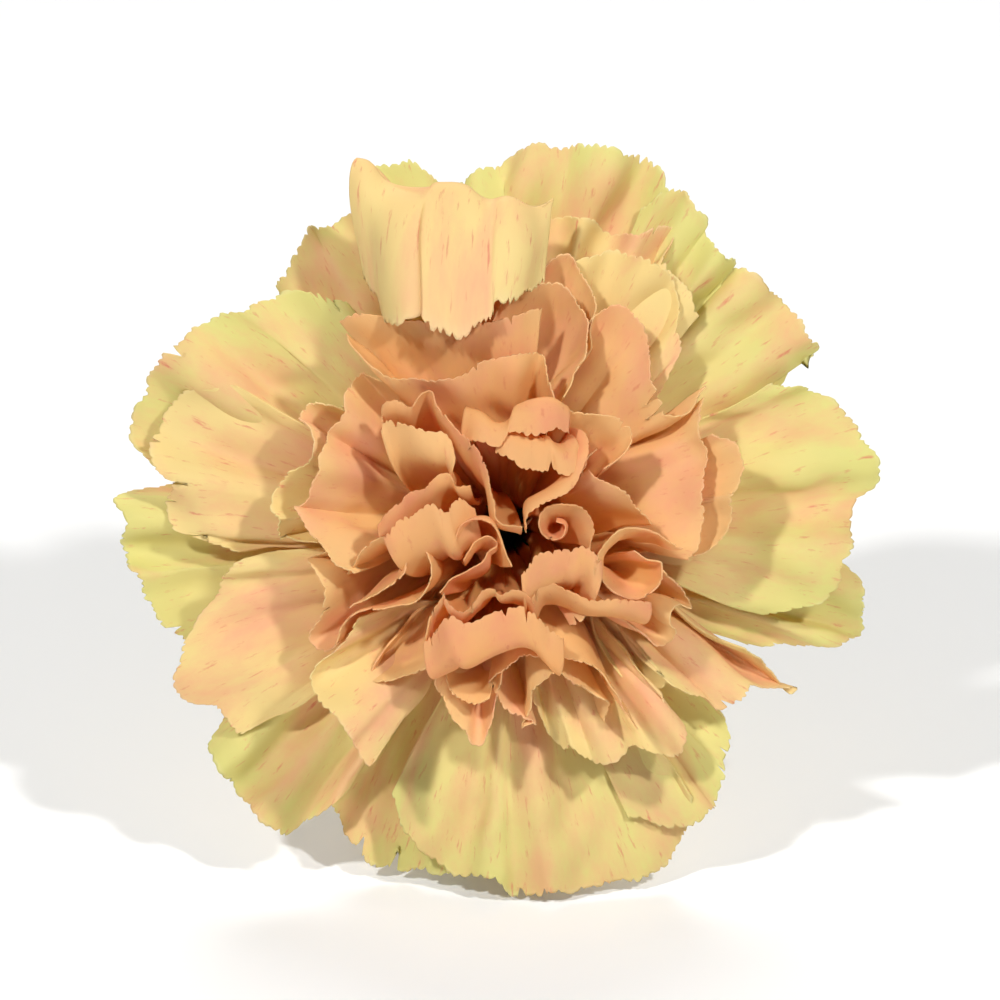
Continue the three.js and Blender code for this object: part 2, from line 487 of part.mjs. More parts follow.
// Petals are laid from the back to the heart, and each is trimmed where the pistil and those before
// it lie
const addPetals = () => {
  const half = petalThickness / 2;
  let occupied = pistilSolid();
  rings.forEach((ring, ringIndex) => {
    const places = clawPlaces(ring.petals);
    const room = (2 * Math.PI * clawRadii(ringIndex).foot) / ring.petals.length - clearance;
    ring.petals.forEach((petal, index) => {
      const grid = petalGrid(petal, ring, ringIndex, places[index], room, half);
      const whole = toSolid(sheet(grid, half, 0));
      const piece = largestPiece(whole.subtract(occupied));
      const around = toSolid(sheet(grid, half + clearance, clearance)).add(whole);
      occupied = occupied.add(around);
      const number = String(index + 1).padStart(2, '0');
      addPiece(`${ring.name}_${number}`, toGeometry(piece), ring.colour, 0.75);
    });
  });
};

const calyxRadius = (height) =>
  THREE.MathUtils.lerp(calyxMouthRadius, calyxBaseRadius, Math.min(-height / calyxLength, 1));

const addCalyx = () => {
  const mouth = calyxMouthRadius;
  const cup = lathe([
    [0, -calyxLength],
    [calyxBaseRadius - calyxHeel, -calyxLength],
    [calyxBaseRadius, -calyxLength + calyxHeel],
    [mouth, 0],
    [mouth - calyxWall, 0],
    [calyxBaseRadius - calyxWall, calyxFloor],
    [0, calyxFloor],
  ], calyxSides);
  const halfGap = mouth * Math.tan(Math.PI / calyxTeeth) - toothTip;
  let calyx = cup;
  for (let tooth = 0; tooth < calyxTeeth; tooth++) {
    const gap = new THREE.Shape([
      new THREE.Vector2(0, -toothLength),
      new THREE.Vector2(halfGap, 0),
      new THREE.Vector2(halfGap, toothTip),
      new THREE.Vector2(-halfGap, toothTip),
      new THREE.Vector2(-halfGap, 0),
    ]);
    const wedge = new THREE.ExtrudeGeometry(gap, { depth: 2 * mouth, bevelEnabled: false });
    wedge.rotateX(Math.PI / 2);
    wedge.rotateZ((2 * Math.PI * tooth) / calyxTeeth);
    calyx = calyx.subtract(toSolid(welded(wedge)));
  }
  addPiece('calyx', toGeometry(calyx), colours.calyx, 0.6);
};

// Two pairs of pointed bracts clasp the foot of the calyx, one pair outside the other
const addBracts = () => {
  const half = bractThickness / 2;
  for (let bract = 0; bract < bractCount; bract++) {
    const layer = bract % 2;
    const proud = clearance + half + layer * (bractThickness + clearance);
    const grid = bractOutline.map((width, row) => {
      const height = bractLift - calyxLength + (bractLength * row) / (bractOutline.length - 1);
      const radius = calyxRadius(height) + proud;
      const turn = THREE.MathUtils.radToDeg((width * bractWidth) / radius);
      const points = [];
      for (let column = 0; column <= bractColumns; column++) {
        const angle = (bract * 360) / bractCount + turn * (column / bractColumns - 0.5);
        points.push(aroundAxis(angle, radius, height));
      }
      return points;
    });
    addPiece(`bract_${bract + 1}`, toGeometry(toSolid(sheet(grid, half, 0))), colours.bract, 0.7);
  }
};

const addStem = () => {
  const radius = stemDiameter / 2;
  const top = -calyxLength - clearance;
  const stem = lathe([
    [0, -wholeLength],
    [radius, -wholeLength],
    [radius, top - stemCollarLength],
    [radius * stemCollar, top],
    [0, top],
  ], stemSides);
  const reach = 5 * stemDiameter;      // a block wide enough to cut the whole stem
  const knife = new THREE.BoxGeometry(reach, reach, reach);
  knife.translate(0, 0, -reach / 2);
  knife.rotateX(radians(stemCutAngle));
  knife.translate(0, -radius, -wholeLength);
  addPiece('stem', toGeometry(stem.subtract(toSolid(welded(knife)))), colours.stem, 0.55);
};

addStem();
addCalyx();
addBracts();
addPiece('pistil', toGeometry(pistilSolid()), colours.pistil, 0.6);
addPetals();

// Laid on the surface, with the origin under the middle of its box
bloom.rotation.x = Math.PI / 2 - lean;
const carnation = new THREE.Group();
carnation.add(bloom);
carnation.updateMatrixWorld(true);
const box = new THREE.Box3().setFromObject(carnation, true);
const middle = box.getCenter(new THREE.Vector3());
carnation.position.set(-middle.x, -middle.y, -box.min.z);

export default carnation;
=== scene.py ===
# The looks of a cut carnation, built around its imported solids.
# It is drawn about the bloom's own axis in millimetres: x to the right, y to its upper side,
# z along the axis to the face, z = 0 at the tips of the calyx teeth.
import math
import bmesh
import bpy
import numpy as np
from mathutils import Matrix, Vector


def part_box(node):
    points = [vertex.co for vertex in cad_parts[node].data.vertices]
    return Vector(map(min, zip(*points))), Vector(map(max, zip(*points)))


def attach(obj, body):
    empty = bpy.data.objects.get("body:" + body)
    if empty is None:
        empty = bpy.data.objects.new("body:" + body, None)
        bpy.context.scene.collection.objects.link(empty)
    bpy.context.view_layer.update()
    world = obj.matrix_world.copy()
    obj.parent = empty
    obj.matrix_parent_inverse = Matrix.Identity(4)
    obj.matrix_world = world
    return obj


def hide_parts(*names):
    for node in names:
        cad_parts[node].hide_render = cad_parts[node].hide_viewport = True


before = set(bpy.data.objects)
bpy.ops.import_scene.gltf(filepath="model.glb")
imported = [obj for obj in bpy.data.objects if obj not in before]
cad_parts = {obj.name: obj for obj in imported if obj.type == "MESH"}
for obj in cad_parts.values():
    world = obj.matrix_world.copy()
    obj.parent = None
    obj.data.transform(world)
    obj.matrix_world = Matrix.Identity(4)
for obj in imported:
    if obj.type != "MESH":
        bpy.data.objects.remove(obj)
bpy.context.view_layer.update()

bloom = dict(diameter=77, pressed=2.3, petalThick=0.34, clawWidth=1.1)
calyxSize = dict(length=30, mouth=7.4, base=6.3, wall=0.7, teeth=5, tooth=6)
bractSize = dict(length=10, width=8.5, thick=0.5, lift=1.8)
stemSize = dict(diameter=4, length=46, cut=40)
pistilSize = dict(radius=1.25, height=9, style=0.7, reach=32, spread=1.2)
clearance = 0.35
mm = 0.001
lineSteps = 24           # steps between two points of a smooth line
seamGap = 0.004 * mm     # points closer than this are joined along a seam

# How the bloom lies: on the surface under its lower petals and the lower edge of the stem's cut
wholeLength = calyxSize["length"] + stemSize["length"]
restRadius = bloom["diameter"] / 2 - bloom["pressed"]
stemRadius = stemSize["diameter"] / 2
lean = math.atan2(restRadius - stemRadius, wholeLength)
upAcross = np.array([0, math.cos(lean), math.sin(lean)])
surfaceHeight = -restRadius * math.cos(lean)
stemLow, stemHigh = (np.array(corner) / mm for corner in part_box("stem"))
bloomPlace = np.array([
    (stemLow[0] + stemHigh[0]) / 2,
    stemHigh[1] - wholeLength * math.cos(lean) + stemRadius * math.sin(lean),
    stemLow[2] + wholeLength * math.sin(lean) + stemRadius * math.cos(lean),
])
turn = np.array(Matrix.Rotation(math.pi / 2 - lean, 3, "X"))


def toWorld(points):
    return (np.asarray(points, float) @ turn.T + bloomPlace) * mm


def polar(angle, radius, height):
    a = np.radians(angle)
    return np.stack(np.broadcast_arrays(radius * np.cos(a), radius * np.sin(a), height), axis=-1)


def smooth(x, low=0.0, high=1.0):
    t = np.clip((x - low) / (high - low), 0, 1)
    return t * t * (3 - 2 * t)


def unit(vectors):
    return vectors / np.maximum(np.linalg.norm(vectors, axis=-1, keepdims=True), 1e-9)


# Points at even steps along a smooth line through the given ones, or its length when count is None
def throughPoints(points, count):
    points = np.asarray(points, float)
    ends = np.vstack([2 * points[0] - points[1], points, 2 * points[-1] - points[-2]])
    t = np.linspace(0, 1, lineSteps, endpoint=False)[:, None]
    line = []
    for a, b, c, d in zip(ends, ends[1:], ends[2:], ends[3:]):
        line.append(0.5 * (2 * b + (c - a) * t + (2 * a - 5 * b + 4 * c - d) * t ** 2
                           + (3 * b - a - 3 * c + d) * t ** 3))
    line = np.vstack(line + [points[-1:]])
    length = np.concatenate([[0], np.cumsum(np.linalg.norm(np.diff(line, axis=0), axis=1))])
    if count is None:
        return length[-1]
    at = np.linspace(0, length[-1], count)
    return np.stack([np.interp(at, length, line[:, k]) for k in range(3)], axis=1)


# With a seam, the last column meets the first. Rows of one repeated point close to a fan.
def gridMesh(name, grid, uv=None, seam=False):
    rows, columns = grid.shape[:2]
    mesh = bpy.data.meshes.new(name)
    index = np.arange(rows * columns).reshape(rows, columns)
    quads = np.stack([index[:-1, :-1], index[:-1, 1:], index[1:, 1:], index[1:, :-1]], axis=-1)
    quads = quads.reshape(-1, 4)
    mesh.from_pydata(toWorld(grid.reshape(-1, 3)).tolist(), [], quads.tolist())
    if uv is not None:
        layer = mesh.uv_layers.new(name="pieceUV")
        layer.data.foreach_set("uv", uv.reshape(-1, 2)[quads.reshape(-1)].astype(np.float32).ravel())
    if seam:
        shape = bmesh.new()
        shape.from_mesh(mesh)
        bmesh.ops.remove_doubles(shape, verts=shape.verts, dist=seamGap)
        bmesh.ops.recalc_face_normals(shape, faces=shape.faces)
        shape.to_mesh(mesh)
        shape.free()
    mesh.polygons.foreach_set("use_smooth", [True] * len(mesh.polygons))
    mesh.update()
    piece = bpy.data.objects.new(name, mesh)
    bpy.context.scene.collection.objects.link(piece)
    return piece


def joined(pieces):
    with bpy.context.temp_override(active_object=pieces[0], selected_editable_objects=pieces):
        bpy.ops.object.join()
    return pieces[0]


# Each ring's petals, from the back of the bloom to its heart, as in the solids. A margin is a free
# edge, from side to side, as points of [angle about the axis, distance from it, height], and "arrive"
# is the slope at which the blade reaches it. "throat" places the first bend, and "belly" the two ends
# of a hood's fold. An edge has points of [x, y, height], and "comesFrom" is the way from each of them
# to the second bend, or "cup" the point that a rolled blade draws in to.
guardPetals = [
    dict(arrive=-14, margin=[
        [341, 28, 6], [348, 33.4, 5.5], [355, 34.6, 6.5], [363, 35.4, 5], [367, 37.8, 4.5],
        [372, 38, 6], [378, 36.6, 5], [384, 34.4, 5.5], [389, 30, 7]
    ]),
    dict(arrive=-10, margin=[
        [27, 30, 3], [28.5, 36.6, 3], [33, 36.2, 4.5], [39, 36.5, 3], [45, 35.6, 4.5],
        [49, 34.7, 3], [53, 31, 2]
    ]),
    dict(arrive=0, margin=[
        [46, 30, 5], [49, 35, 4], [52, 35.5, 6.5], [56, 36.4, 4.5], [60, 38, 5.5],
        [63.5, 38.8, 3.5], [67, 35, 3]
    ]),
    dict(arrive=-8, margin=[
        [61, 33, 2], [65, 38.4, 2.5], [69, 40.2, 1], [74, 39.8, 2.5], [80, 39.3, 1], [86, 39, 2.5],
        [90, 37.4, 1.5], [95, 36.3, 3], [100, 34, 2]
    ]),
    dict(arrive=-8, margin=[
        [99, 34, 2.5], [104, 38.2, 3.5], [109.5, 38.9, 2.5], [113, 36.5, 4], [118, 35.7, 3],
        [123, 36.2, 4], [128, 35, 2.5], [134, 33.3, 3], [139, 28, 2]
    ]),
    dict(arrive=-12, margin=[
        [124, 25, 7], [129, 30.8, 6.5], [135, 33, 5], [141, 35, 5.5], [147, 37.2, 3.5],
        [153, 38.5, 4.5], [159, 39.4, 2.5], [165, 39.4, 1.5], [169, 37, 2], [172, 32, 2.5]
    ]),
    dict(arrive=-10, margin=[
        [170, 32, 1], [175.5, 39.3, 1], [179, 38.6, 2.5], [183, 38.7, 1], [187, 38, 2.5],
        [191, 37, 1], [199, 35, 1], [203, 31, 1.5]
    ]),
    dict(arrive=-10, margin=[
        [210, 31, 3], [216.5, 36.6, 2], [220, 37.6, 3.5], [224, 38.4, 2], [229, 38.2, 3.5],
        [234, 38.4, 2], [236, 35.8, 2.5], [239, 31, 3]
    ]),
    dict(arrive=-10, margin=[
        [233, 30, 1], [240, 34.2, -1.5], [244, 35.5, -1], [248.5, 36.6, -1.4], [253, 36.7, -0.8],
        [257, 35.6, 0.5], [262, 35, 0.5], [266, 31, 1]
    ]),
    dict(arrive=-16, margin=[
        [247, 29, 4], [253, 32.8, 3.5], [262, 35.6, 3], [267, 35.4, 4.5], [272, 37.2, 3],
        [277, 37.6, 4.5], [283, 37.2, 2.2], [290, 37.9, 0.8], [298, 37.4, 1], [305, 33, 3]
    ]),
    dict(arrive=-8, margin=[
        [293, 32, 3.5], [300, 35, 3], [307, 35.6, 2], [312, 33, 4.5], [317, 31.5, 3.5],
        [322, 26, 5]
    ]),
    dict(arrive=-25, margin=[
        [334, 28, 2], [341, 35.5, 0], [344, 38, -1.5], [348, 37, 1.5], [351, 36, 3], [357, 31, 3]
    ]),
]
outerPetals = [
    dict(arrive=0, margin=[
        [47.5, 29, 8], [51.5, 30.3, 8.5], [59.5, 31.2, 8], [60.5, 34.8, 5.5], [65, 33, 7.5],
        [71, 31.8, 6], [76, 32.2, 7.5], [80.5, 32, 6], [87, 31, 7], [94, 27, 7]
    ]),
    dict(arrive=158, throat=[100, 10, 12], belly=[[82, 50, 12], [108, 62, 12]], margin=[
        [80.5, 24, 14.5], [86, 22, 17], [93, 21.8, 18.5], [95, 19.6, 19.5], [102, 18.7, 20.5],
        [110, 20.2, 20], [113, 21.8, 19], [116, 21.4, 19.5], [120, 23, 17], [121, 28, 12.5]
    ]),
    dict(arrive=-12, margin=[
        [152, 31, 6.5], [158, 35.6, 5], [164, 36.6, 4], [169.5, 36.2, 5.5], [172.5, 34.2, 6],
        [177, 34.3, 4.5], [181, 32.6, 5.5], [185, 27, 6]
    ]),
    dict(arrive=-14, margin=[
        [186, 23, 9.5], [188.5, 28, 9], [191.5, 29.6, 7.5], [197, 32.5, 7], [201, 35, 6],
        [207, 37, 5.5], [213.5, 34.2, 5.5], [218, 33.5, 5], [219.5, 28, 7]
    ]),
    dict(arrive=-8, margin=[
        [308, 19, 10], [312.5, 22.5, 9], [317, 23, 10.5], [319, 28, 7], [324, 29.3, 8],
        [329, 30, 7], [330.5, 33.4, 3], [333, 27, 8]
    ]),
    dict(arrive=-12, margin=[
        [279, 18, 11], [283.5, 22.6, 9.5], [287, 23.5, 11], [291, 25.1, 9.5], [296, 25.6, 10.5],
        [301, 25.8, 9.5], [305.5, 28.2, 8], [310, 28.3, 9], [312.5, 26, 9], [312.5, 21, 10.5]
    ]),
    dict(arrive=10, margin=[
        [40.5, 20.6, 11], [44.5, 24.5, 10], [50, 27, 10.5], [56, 30, 9], [62, 30.8, 10.5],
        [70, 29.5, 9], [79, 27, 10], [84, 22, 10]
    ]),
    dict(arrive=30, margin=[
        [211, 17, 15.5], [214.5, 20.5, 15], [217, 23.5, 15], [221, 25.3, 15.5], [225, 25.6, 16],
        [233, 25.6, 17], [236.5, 26.6, 16.5], [241, 27.4, 15.5], [236.5, 25, 14.5], [230, 22.5, 13],
        [228, 19.5, 12]
    ]),
    dict(arrive=35, margin=[
        [141, 19, 13], [147.5, 23.2, 12], [153, 23.8, 12.5], [156, 22, 14], [158.5, 20.8, 14],
        [162, 21.2, 13], [166.5, 22.5, 13], [173, 23.2, 12.5], [178, 22.4, 14], [182.5, 23, 11.5],
        [185, 19, 12]
    ]),
]
middlePetals = [
    dict(arrive=40, margin=[
        [65.5, 20, 13], [69, 23.6, 13], [73.5, 26.8, 12.5], [76.5, 28.2, 12], [80.5, 27, 12.5],
        [84, 23, 12.5]
    ]),
    dict(arrive=30, margin=[
        [34.5, 24.4, 12.5], [33.8, 21.6, 14], [36, 19.8, 15], [42, 20.2, 14.5], [47, 21.3, 14],
        [52, 23.3, 13.5], [57, 24.5, 13], [62, 25.3, 13.5], [67, 24, 13], [69, 20, 13]
    ]),
    dict(arrive=35, margin=[
        [352, 19, 14], [357, 21.8, 14.5], [362.5, 22.8, 15], [367.5, 22.4, 16], [370, 23, 16],
        [374.5, 24.9, 14.5], [380, 25, 14], [385, 23, 13.5]
    ]),
    dict(arrive=42, margin=[
        [128, 18, 17], [132, 21.2, 15], [138, 21, 16], [144, 20, 17], [152, 20.4, 16],
        [158, 19.6, 17.5], [163, 19.2, 17.5], [170, 20, 16.5], [174, 21.4, 15.5], [178, 20.6, 16.5],
        [183, 19, 17], [190, 17.8, 17.5], [197, 15.8, 17]
    ]),
    dict(arrive=30, margin=[
        [185, 17.5, 15], [188.5, 20.2, 14], [193, 19.6, 15], [200, 19.8, 14.5], [206, 21.3, 13.5],
        [210.5, 22.4, 12.5], [213.5, 21.6, 13], [214, 18.5, 14]
    ]),
    dict(arrive=30, margin=[
        [225.5, 19, 13.5], [228, 21.4, 13], [233, 18.2, 15.5], [238, 16.3, 16.5], [243, 15.9, 17],
        [248, 17.4, 16.5], [254, 19, 16], [259, 20.6, 15], [263.5, 21.5, 14.5], [267.5, 17, 15.5]
    ]),
    dict(arrive=32, margin=[
        [266, 15, 15], [270, 17.6, 15], [274, 19.2, 14], [277.5, 20.5, 13], [278.5, 18, 15],
        [281.5, 16.2, 16.5], [287, 15.6, 17], [292, 15.8, 16.5], [296.5, 17.6, 15.5],
        [299.8, 20.2, 14.5], [296.8, 21.8, 13]
    ]),
    dict(arrive=32, margin=[
        [346, 15, 16], [343, 17.2, 15.5], [337.5, 20.3, 13.5], [334, 19, 15], [330.4, 20.1, 14],
        [325, 20.2, 13.5], [322.5, 17.5, 15.5], [320.5, 14.5, 17], [316.5, 12.3, 18], [309, 12, 18],
        [304, 11.6, 17]
    ]),
    dict(arrive=38, margin=[
        [350, 18.6, 15], [356, 19.7, 16], [362, 19.6, 16.5], [368, 19.6, 17], [374, 20, 16.5],
        [380, 21.2, 15.5], [387, 21.6, 15], [393.5, 24, 13]
    ]),
    dict(arrive=46, margin=[
        [67, 14.5, 17], [64.5, 16.8, 16], [65.5, 18.9, 15.5], [69, 21.6, 15], [74, 23.9, 14.5],
        [79, 24.9, 14.5], [84, 24.2, 15], [90, 22, 15.5], [97, 19, 16]
    ]),
]
innerPetals = [
    dict(arrive=24, margin=[
        [128.5, 26.4, 15.5], [124.5, 26, 16.5], [118, 24, 16.5], [110, 22, 17], [101, 21, 17],
        [93, 20.6, 17], [87, 21.4, 16.5], [80.5, 22.4, 16]
    ]),
    dict(arrive=42, edge=[
        [-15.6, 19.6, 17], [-14.8, 17.6, 18], [-12.2, 15.4, 19], [-8.6, 14.6, 19.5],
        [-6.4, 14.9, 20], [-4.2, 15.6, 20], [-1.9, 16.7, 20], [1.2, 17.3, 20], [3.4, 17.4, 19],
        [4.3, 14.9, 19.5], [5.6, 12.5, 20], [7.4, 11.7, 20.5], [9.6, 11.4, 20], [12.3, 10, 19],
        [12.2, 8.2, 19], [9.8, 6, 19.5]
    ]),
    dict(comesFrom=[0.8, -6.4, -1.6], edge=[
        [-12.3, 9.8, 19.5], [-11.6, 10.9, 20.3], [-9.3, 10.3, 21], [-7.3, 9.7, 21.3],
        [-6, 9.6, 21.3], [-5.2, 8.5, 21.3], [-4.9, 7.2, 21]
    ]),
    dict(cup=[-12.6, -4, 12], edge=[
        [-15.6, -4.6, 16], [-14.8, -2.9, 17.5], [-13.3, -1.3, 18.7], [-11.3, -0.6, 19.5],
        [-10.2, -1.8, 20], [-9.9, -3.3, 20], [-10.8, -5.3, 19.5], [-12.6, -6.4, 18.5],
        [-14.8, -7.1, 17.5], [-15.5, -7.8, 17]
    ]),
    dict(comesFrom=[2, 1.6, -6], edge=[
        [-9.5, -2.4, 18.5], [-8.4, -1.9, 20], [-7.5, -4.2, 20.5], [-7.9, -6, 20],
        [-9.3, -7.5, 19.5], [-11.7, -8, 18.5], [-13.9, -8.4, 17.5], [-15.3, -9.5, 16.5],
        [-16.6, -11.8, 15]
    ]),
    dict(arrive=48, margin=[
        [243, 13, 17], [247, 15, 17], [252, 17, 16.5], [257, 18.2, 16], [261, 18.3, 16],
        [265, 17.4, 16.5], [268.5, 15.8, 16.5], [270, 13.5, 17]
    ]),
    dict(arrive=48, margin=[
        [264, 15.4, 16.5], [267, 14.2, 17.5], [273, 13.3, 18.5], [282, 13, 19], [292, 13.5, 18.5],
        [299.5, 15, 18], [304, 17.6, 17], [304.5, 20, 16], [302.5, 21.8, 15], [302.5, 24, 13]
    ]),
    dict(cup=[13, -3.4, 13], edge=[
        [17.6, -1.8, 18], [15.8, -0.8, 19], [13.2, 0.2, 20], [11.2, 0.2, 20.5], [9.8, -1.2, 20.5],
        [9.3, -3.2, 20.5], [9.9, -5.4, 20], [11.9, -6.8, 19.5], [14.1, -6.5, 19], [15.8, -5.1, 19],
        [15.6, -3.2, 19.5], [14, -3, 19.5], [12.8, -2, 19.5]
    ]),
    dict(arrive=48, margin=[
        [361, 14.6, 18.5], [368, 13.6, 19.5], [376.5, 12.2, 21], [384.5, 10.9, 21], [390, 10.3, 21],
        [397, 10.6, 20.5], [399, 12.2, 19]
    ]),
]
heartPetals = [
    dict(comesFrom=[-0.6, -2.6, -3], edge=[
        [-12.4, 10.3, 19], [-12.2, 12.4, 19.5], [-10.6, 12.7, 20], [-9.1, 11.9, 20.5],
        [-7.4, 13.4, 21], [-6.3, 11.8, 22], [-4.6, 9.4, 22.5], [-2.8, 7.9, 22.5], [-1.3, 5.6, 22.5],
        [-1, 2.2, 22.5], [-0.3, 0.9, 22.3], [1.7, 0.4, 22]
    ]),
    dict(throat=[88, 3, 13], comesFrom=[0, 9.4, 1], edge=[
        [-4.2, 8.9, 20.5], [-2.4, 8.3, 22], [-1.2, 7.7, 22.5], [-0.4, 8, 22.7], [0.5, 9.1, 22.8],
        [2.2, 9, 22.8], [3.6, 9.1, 22.6], [5.2, 9.5, 22], [6.2, 9, 21]
    ]),
    dict(throat=[90, 3.5, 13], comesFrom=[0.6, 8.6, 0.2], edge=[
        [-0.9, 7.2, 21.5], [0.6, 6.4, 22], [1.6, 5.7, 22.3], [2.9, 5.6, 22.3], [3.9, 5.3, 22.3],
        [4.6, 5.7, 22], [5.3, 5.2, 22], [6.6, 5, 21.5], [7.3, 6.2, 20.8]
    ]),
    dict(comesFrom=[-1.8, 2.4, -1.6], edge=[
        [2.2, -0.5, 21], [2.7, 1.2, 21.5], [4.2, 2.3, 22], [5.6, 3.2, 22.2], [6.9, 4.4, 22.3],
        [7.7, 6.1, 22], [8.3, 7.4, 21.5], [7.9, 9.2, 20.5]
    ]),
    dict(cup=[5.2, 0.2, 15], edge=[
        [8.3, -2.2, 20], [8.5, -0.5, 20.5], [8.1, 1.3, 21], [6.9, 2.4, 21.3], [5.3, 2.5, 21.5],
        [3.8, 1.7, 21.3], [3.6, -0.1, 21], [4.4, -1.2, 20.7], [5.7, -1, 20.7], [6, 0.2, 20.5],
        [5, 0.7, 20.3]
    ]),
    dict(comesFrom=[2.5, -9.5, -1], edge=[
        [-11.9, -0.5, 20.5], [-10.8, 0.9, 21.3], [-9.3, 1.6, 21.7], [-7.3, 2.5, 22],
        [-5.8, 1.9, 22], [-5.3, 2.8, 22], [-4.3, 3.3, 22], [-3, 2.3, 21.5]
    ]),
    dict(comesFrom=[0.6, -4.8, -2.4], edge=[
        [-12.5, 0.4, 20], [-11.2, 2, 20.7], [-9.7, 3.7, 21], [-8, 4.2, 21.3], [-7.2, 4.8, 21.3],
        [-5.8, 5.4, 21.3], [-4.9, 4.4, 21.3], [-3.4, 4.3, 21]
    ]),
    dict(comesFrom=[1.4, 0.9, -2], edge=[
        [-5.1, -2.6, 21], [-4.4, -0.6, 22], [-3.2, 0.2, 22.3], [-1.9, 0.3, 22.4],
        [-0.7, -0.7, 22.4], [-0.1, -2.1, 22.2], [0.5, -3.8, 21.5]
    ]),
    dict(comesFrom=[0.2, -0.8, -3], edge=[
        [-4.2, -3, 20.8], [-3.2, -1.4, 21.4], [-1.7, -0.8, 21.7], [-0.9, -1.5, 21.6],
        [-1.8, -2.1, 21.3], [-2.2, -3.4, 21.3], [-3.6, -4.6, 21.4], [-5.4, -5.2, 21.4],
        [-6.3, -6.4, 20.8]
    ]),
    dict(comesFrom=[0, -4, -2.6], edge=[
        [-8, -10.6, 20], [-7.3, -8.2, 21], [-6, -5.8, 22], [-5.1, -7.5, 21.5], [-4.1, -8.2, 21],
        [-3, -6.9, 21.5], [-2.3, -5.8, 21.8], [-1, -5.6, 21.8], [-0.5, -6.4, 21.5],
        [0.8, -6.1, 21.5], [2, -6.4, 21.3], [2.9, -7.4, 20.6]
    ]),
    dict(comesFrom=[0, -12, 0.4], edge=[
        [-8.1, -11, 19.5], [-5.7, -8.5, 21], [-4.3, -9, 21.3], [-3, -8.8, 21.5], [-1, -7.7, 21.8],
        [0.7, -7.3, 21.9], [2, -7.7, 21.8], [3.1, -8.4, 21.5], [4.4, -9.6, 21], [5.6, -10.2, 20]
    ]),
    dict(comesFrom=[0.3, -10, -1], edge=[
        [1.6, -4.4, 21], [2.9, -2.6, 21.6], [4.4, -1.9, 21.9], [5.5, -1.6, 22], [6.5, -1.8, 22],
        [7.6, -1.5, 22], [8.5, -1.9, 21.7], [9.4, -3.6, 21]
    ]),
    dict(throat=[310, 7, 12], comesFrom=[0.2, -4.6, -2.2], edge=[
        [2.3, -7, 20], [3.4, -5.3, 21], [4.6, -5.4, 21], [6.3, -6.2, 20.8], [8.1, -6.9, 20.5],
        [10.2, -6.9, 20.3], [12.4, -6.8, 20], [14.3, -7.2, 19]
    ]),
]


# How a blade is shaped between its claw and its margin
bladeShape = dict(
    spread=4,                # width at the first bend, in claw widths
    blend=0.4,               # reach of the bend before the margin, as a share of the blade
    drawIn=0.55,             # how far a cupped blade draws in below its margin
    overlap=0.8,             # how far every other petal of a ring lies above its neighbours
    toothBand=2.2,           # band along the margin that the teeth bite into, in mm
    toothShare=(0.06, 0.3),  # the least and the most that this band takes of the blade
    deepest=0.15,            # most that a tooth takes of the blade
    column=0.2,              # width of a column along the margin, in mm
    columns=(60, 170),
    clawRows=5,
    edgeThinning=0.55,       # how much thinner the blade is at its margin
)


def marginOf(petal):
    if "edge" in petal:
        return [np.array(point, float) for point in petal["edge"]]
    return [polar(*point) for point in petal["margin"]]


# The last bend before the margin, for each column
def shoulderOf(petal, place, tip, back):
    if "belly" in petal:
        share = np.linspace(0, 1, len(tip))[:, None]
        first, last = np.array(petal["belly"], float)
        return polar(*(first * (1 - share) + last * share).T)
    if "comesFrom" in petal:
        return tip + np.array(petal["comesFrom"])
    if "cup" in petal:
        return tip * (1 - bladeShape["drawIn"]) + np.array(petal["cup"]) * bladeShape["drawIn"]
    slope = math.radians(petal.get("arrive", 90))
    reach = unit(tip * [1, 1, 0])
    drop = reach * math.cos(slope) + [0, 0, math.sin(slope)]
    return tip - back * drop + [0, 0, place["raised"]]


# A petal's middle surface, rows from the mouth of the calyx to the margin, and how far out each is.
# "ends" is how far each column reaches, where the teeth bite, and "stray" moves its last bend.
def bladeGrid(petal, ring, place, columns, ends, stray):
    claw = polar(place["angle"], ring["claw"], 0.0)
    side = polar(place["angle"] + 90, 1.0, 0.0)
    tip = throughPoints(marginOf(petal), columns)
    across = np.linspace(-0.5, 0.5, columns)[:, None]
    if np.dot(tip[-1] - tip[0], side) < 0:
        across = -across
    start = claw + side * across * bloom["clawWidth"]
    wider = side * across * bloom["clawWidth"] * bladeShape["spread"]
    if "throat" in petal:
        bend = polar(*petal["throat"]) + wider
    else:
        outwards = ring["rise"] * ring["flare"]
        bend = start + polar(place["angle"], outwards, ring["rise"] + place["raised"]) + wider
    length = np.linalg.norm(tip - start, axis=1, keepdims=True)
    shoulder = shoulderOf(petal, place, tip, length * bladeShape["blend"]) + stray
    even = (1 - (1 - np.linspace(0, 1, ring["rows"])) ** ring["bunch"])[:, None]
    band = np.clip(bladeShape["toothBand"] / np.maximum(length[:, 0], 1), *bladeShape["toothShare"])
    t = (even + (ends[None, :] - 1) * smooth(even, 1 - band[None, :], 1.0))[:, :, None]
    s = 1 - t
    return s ** 3 * start + 3 * s * s * t * bend + 3 * s * t * t * shoulder + t ** 3 * tip, t[:, :, 0]


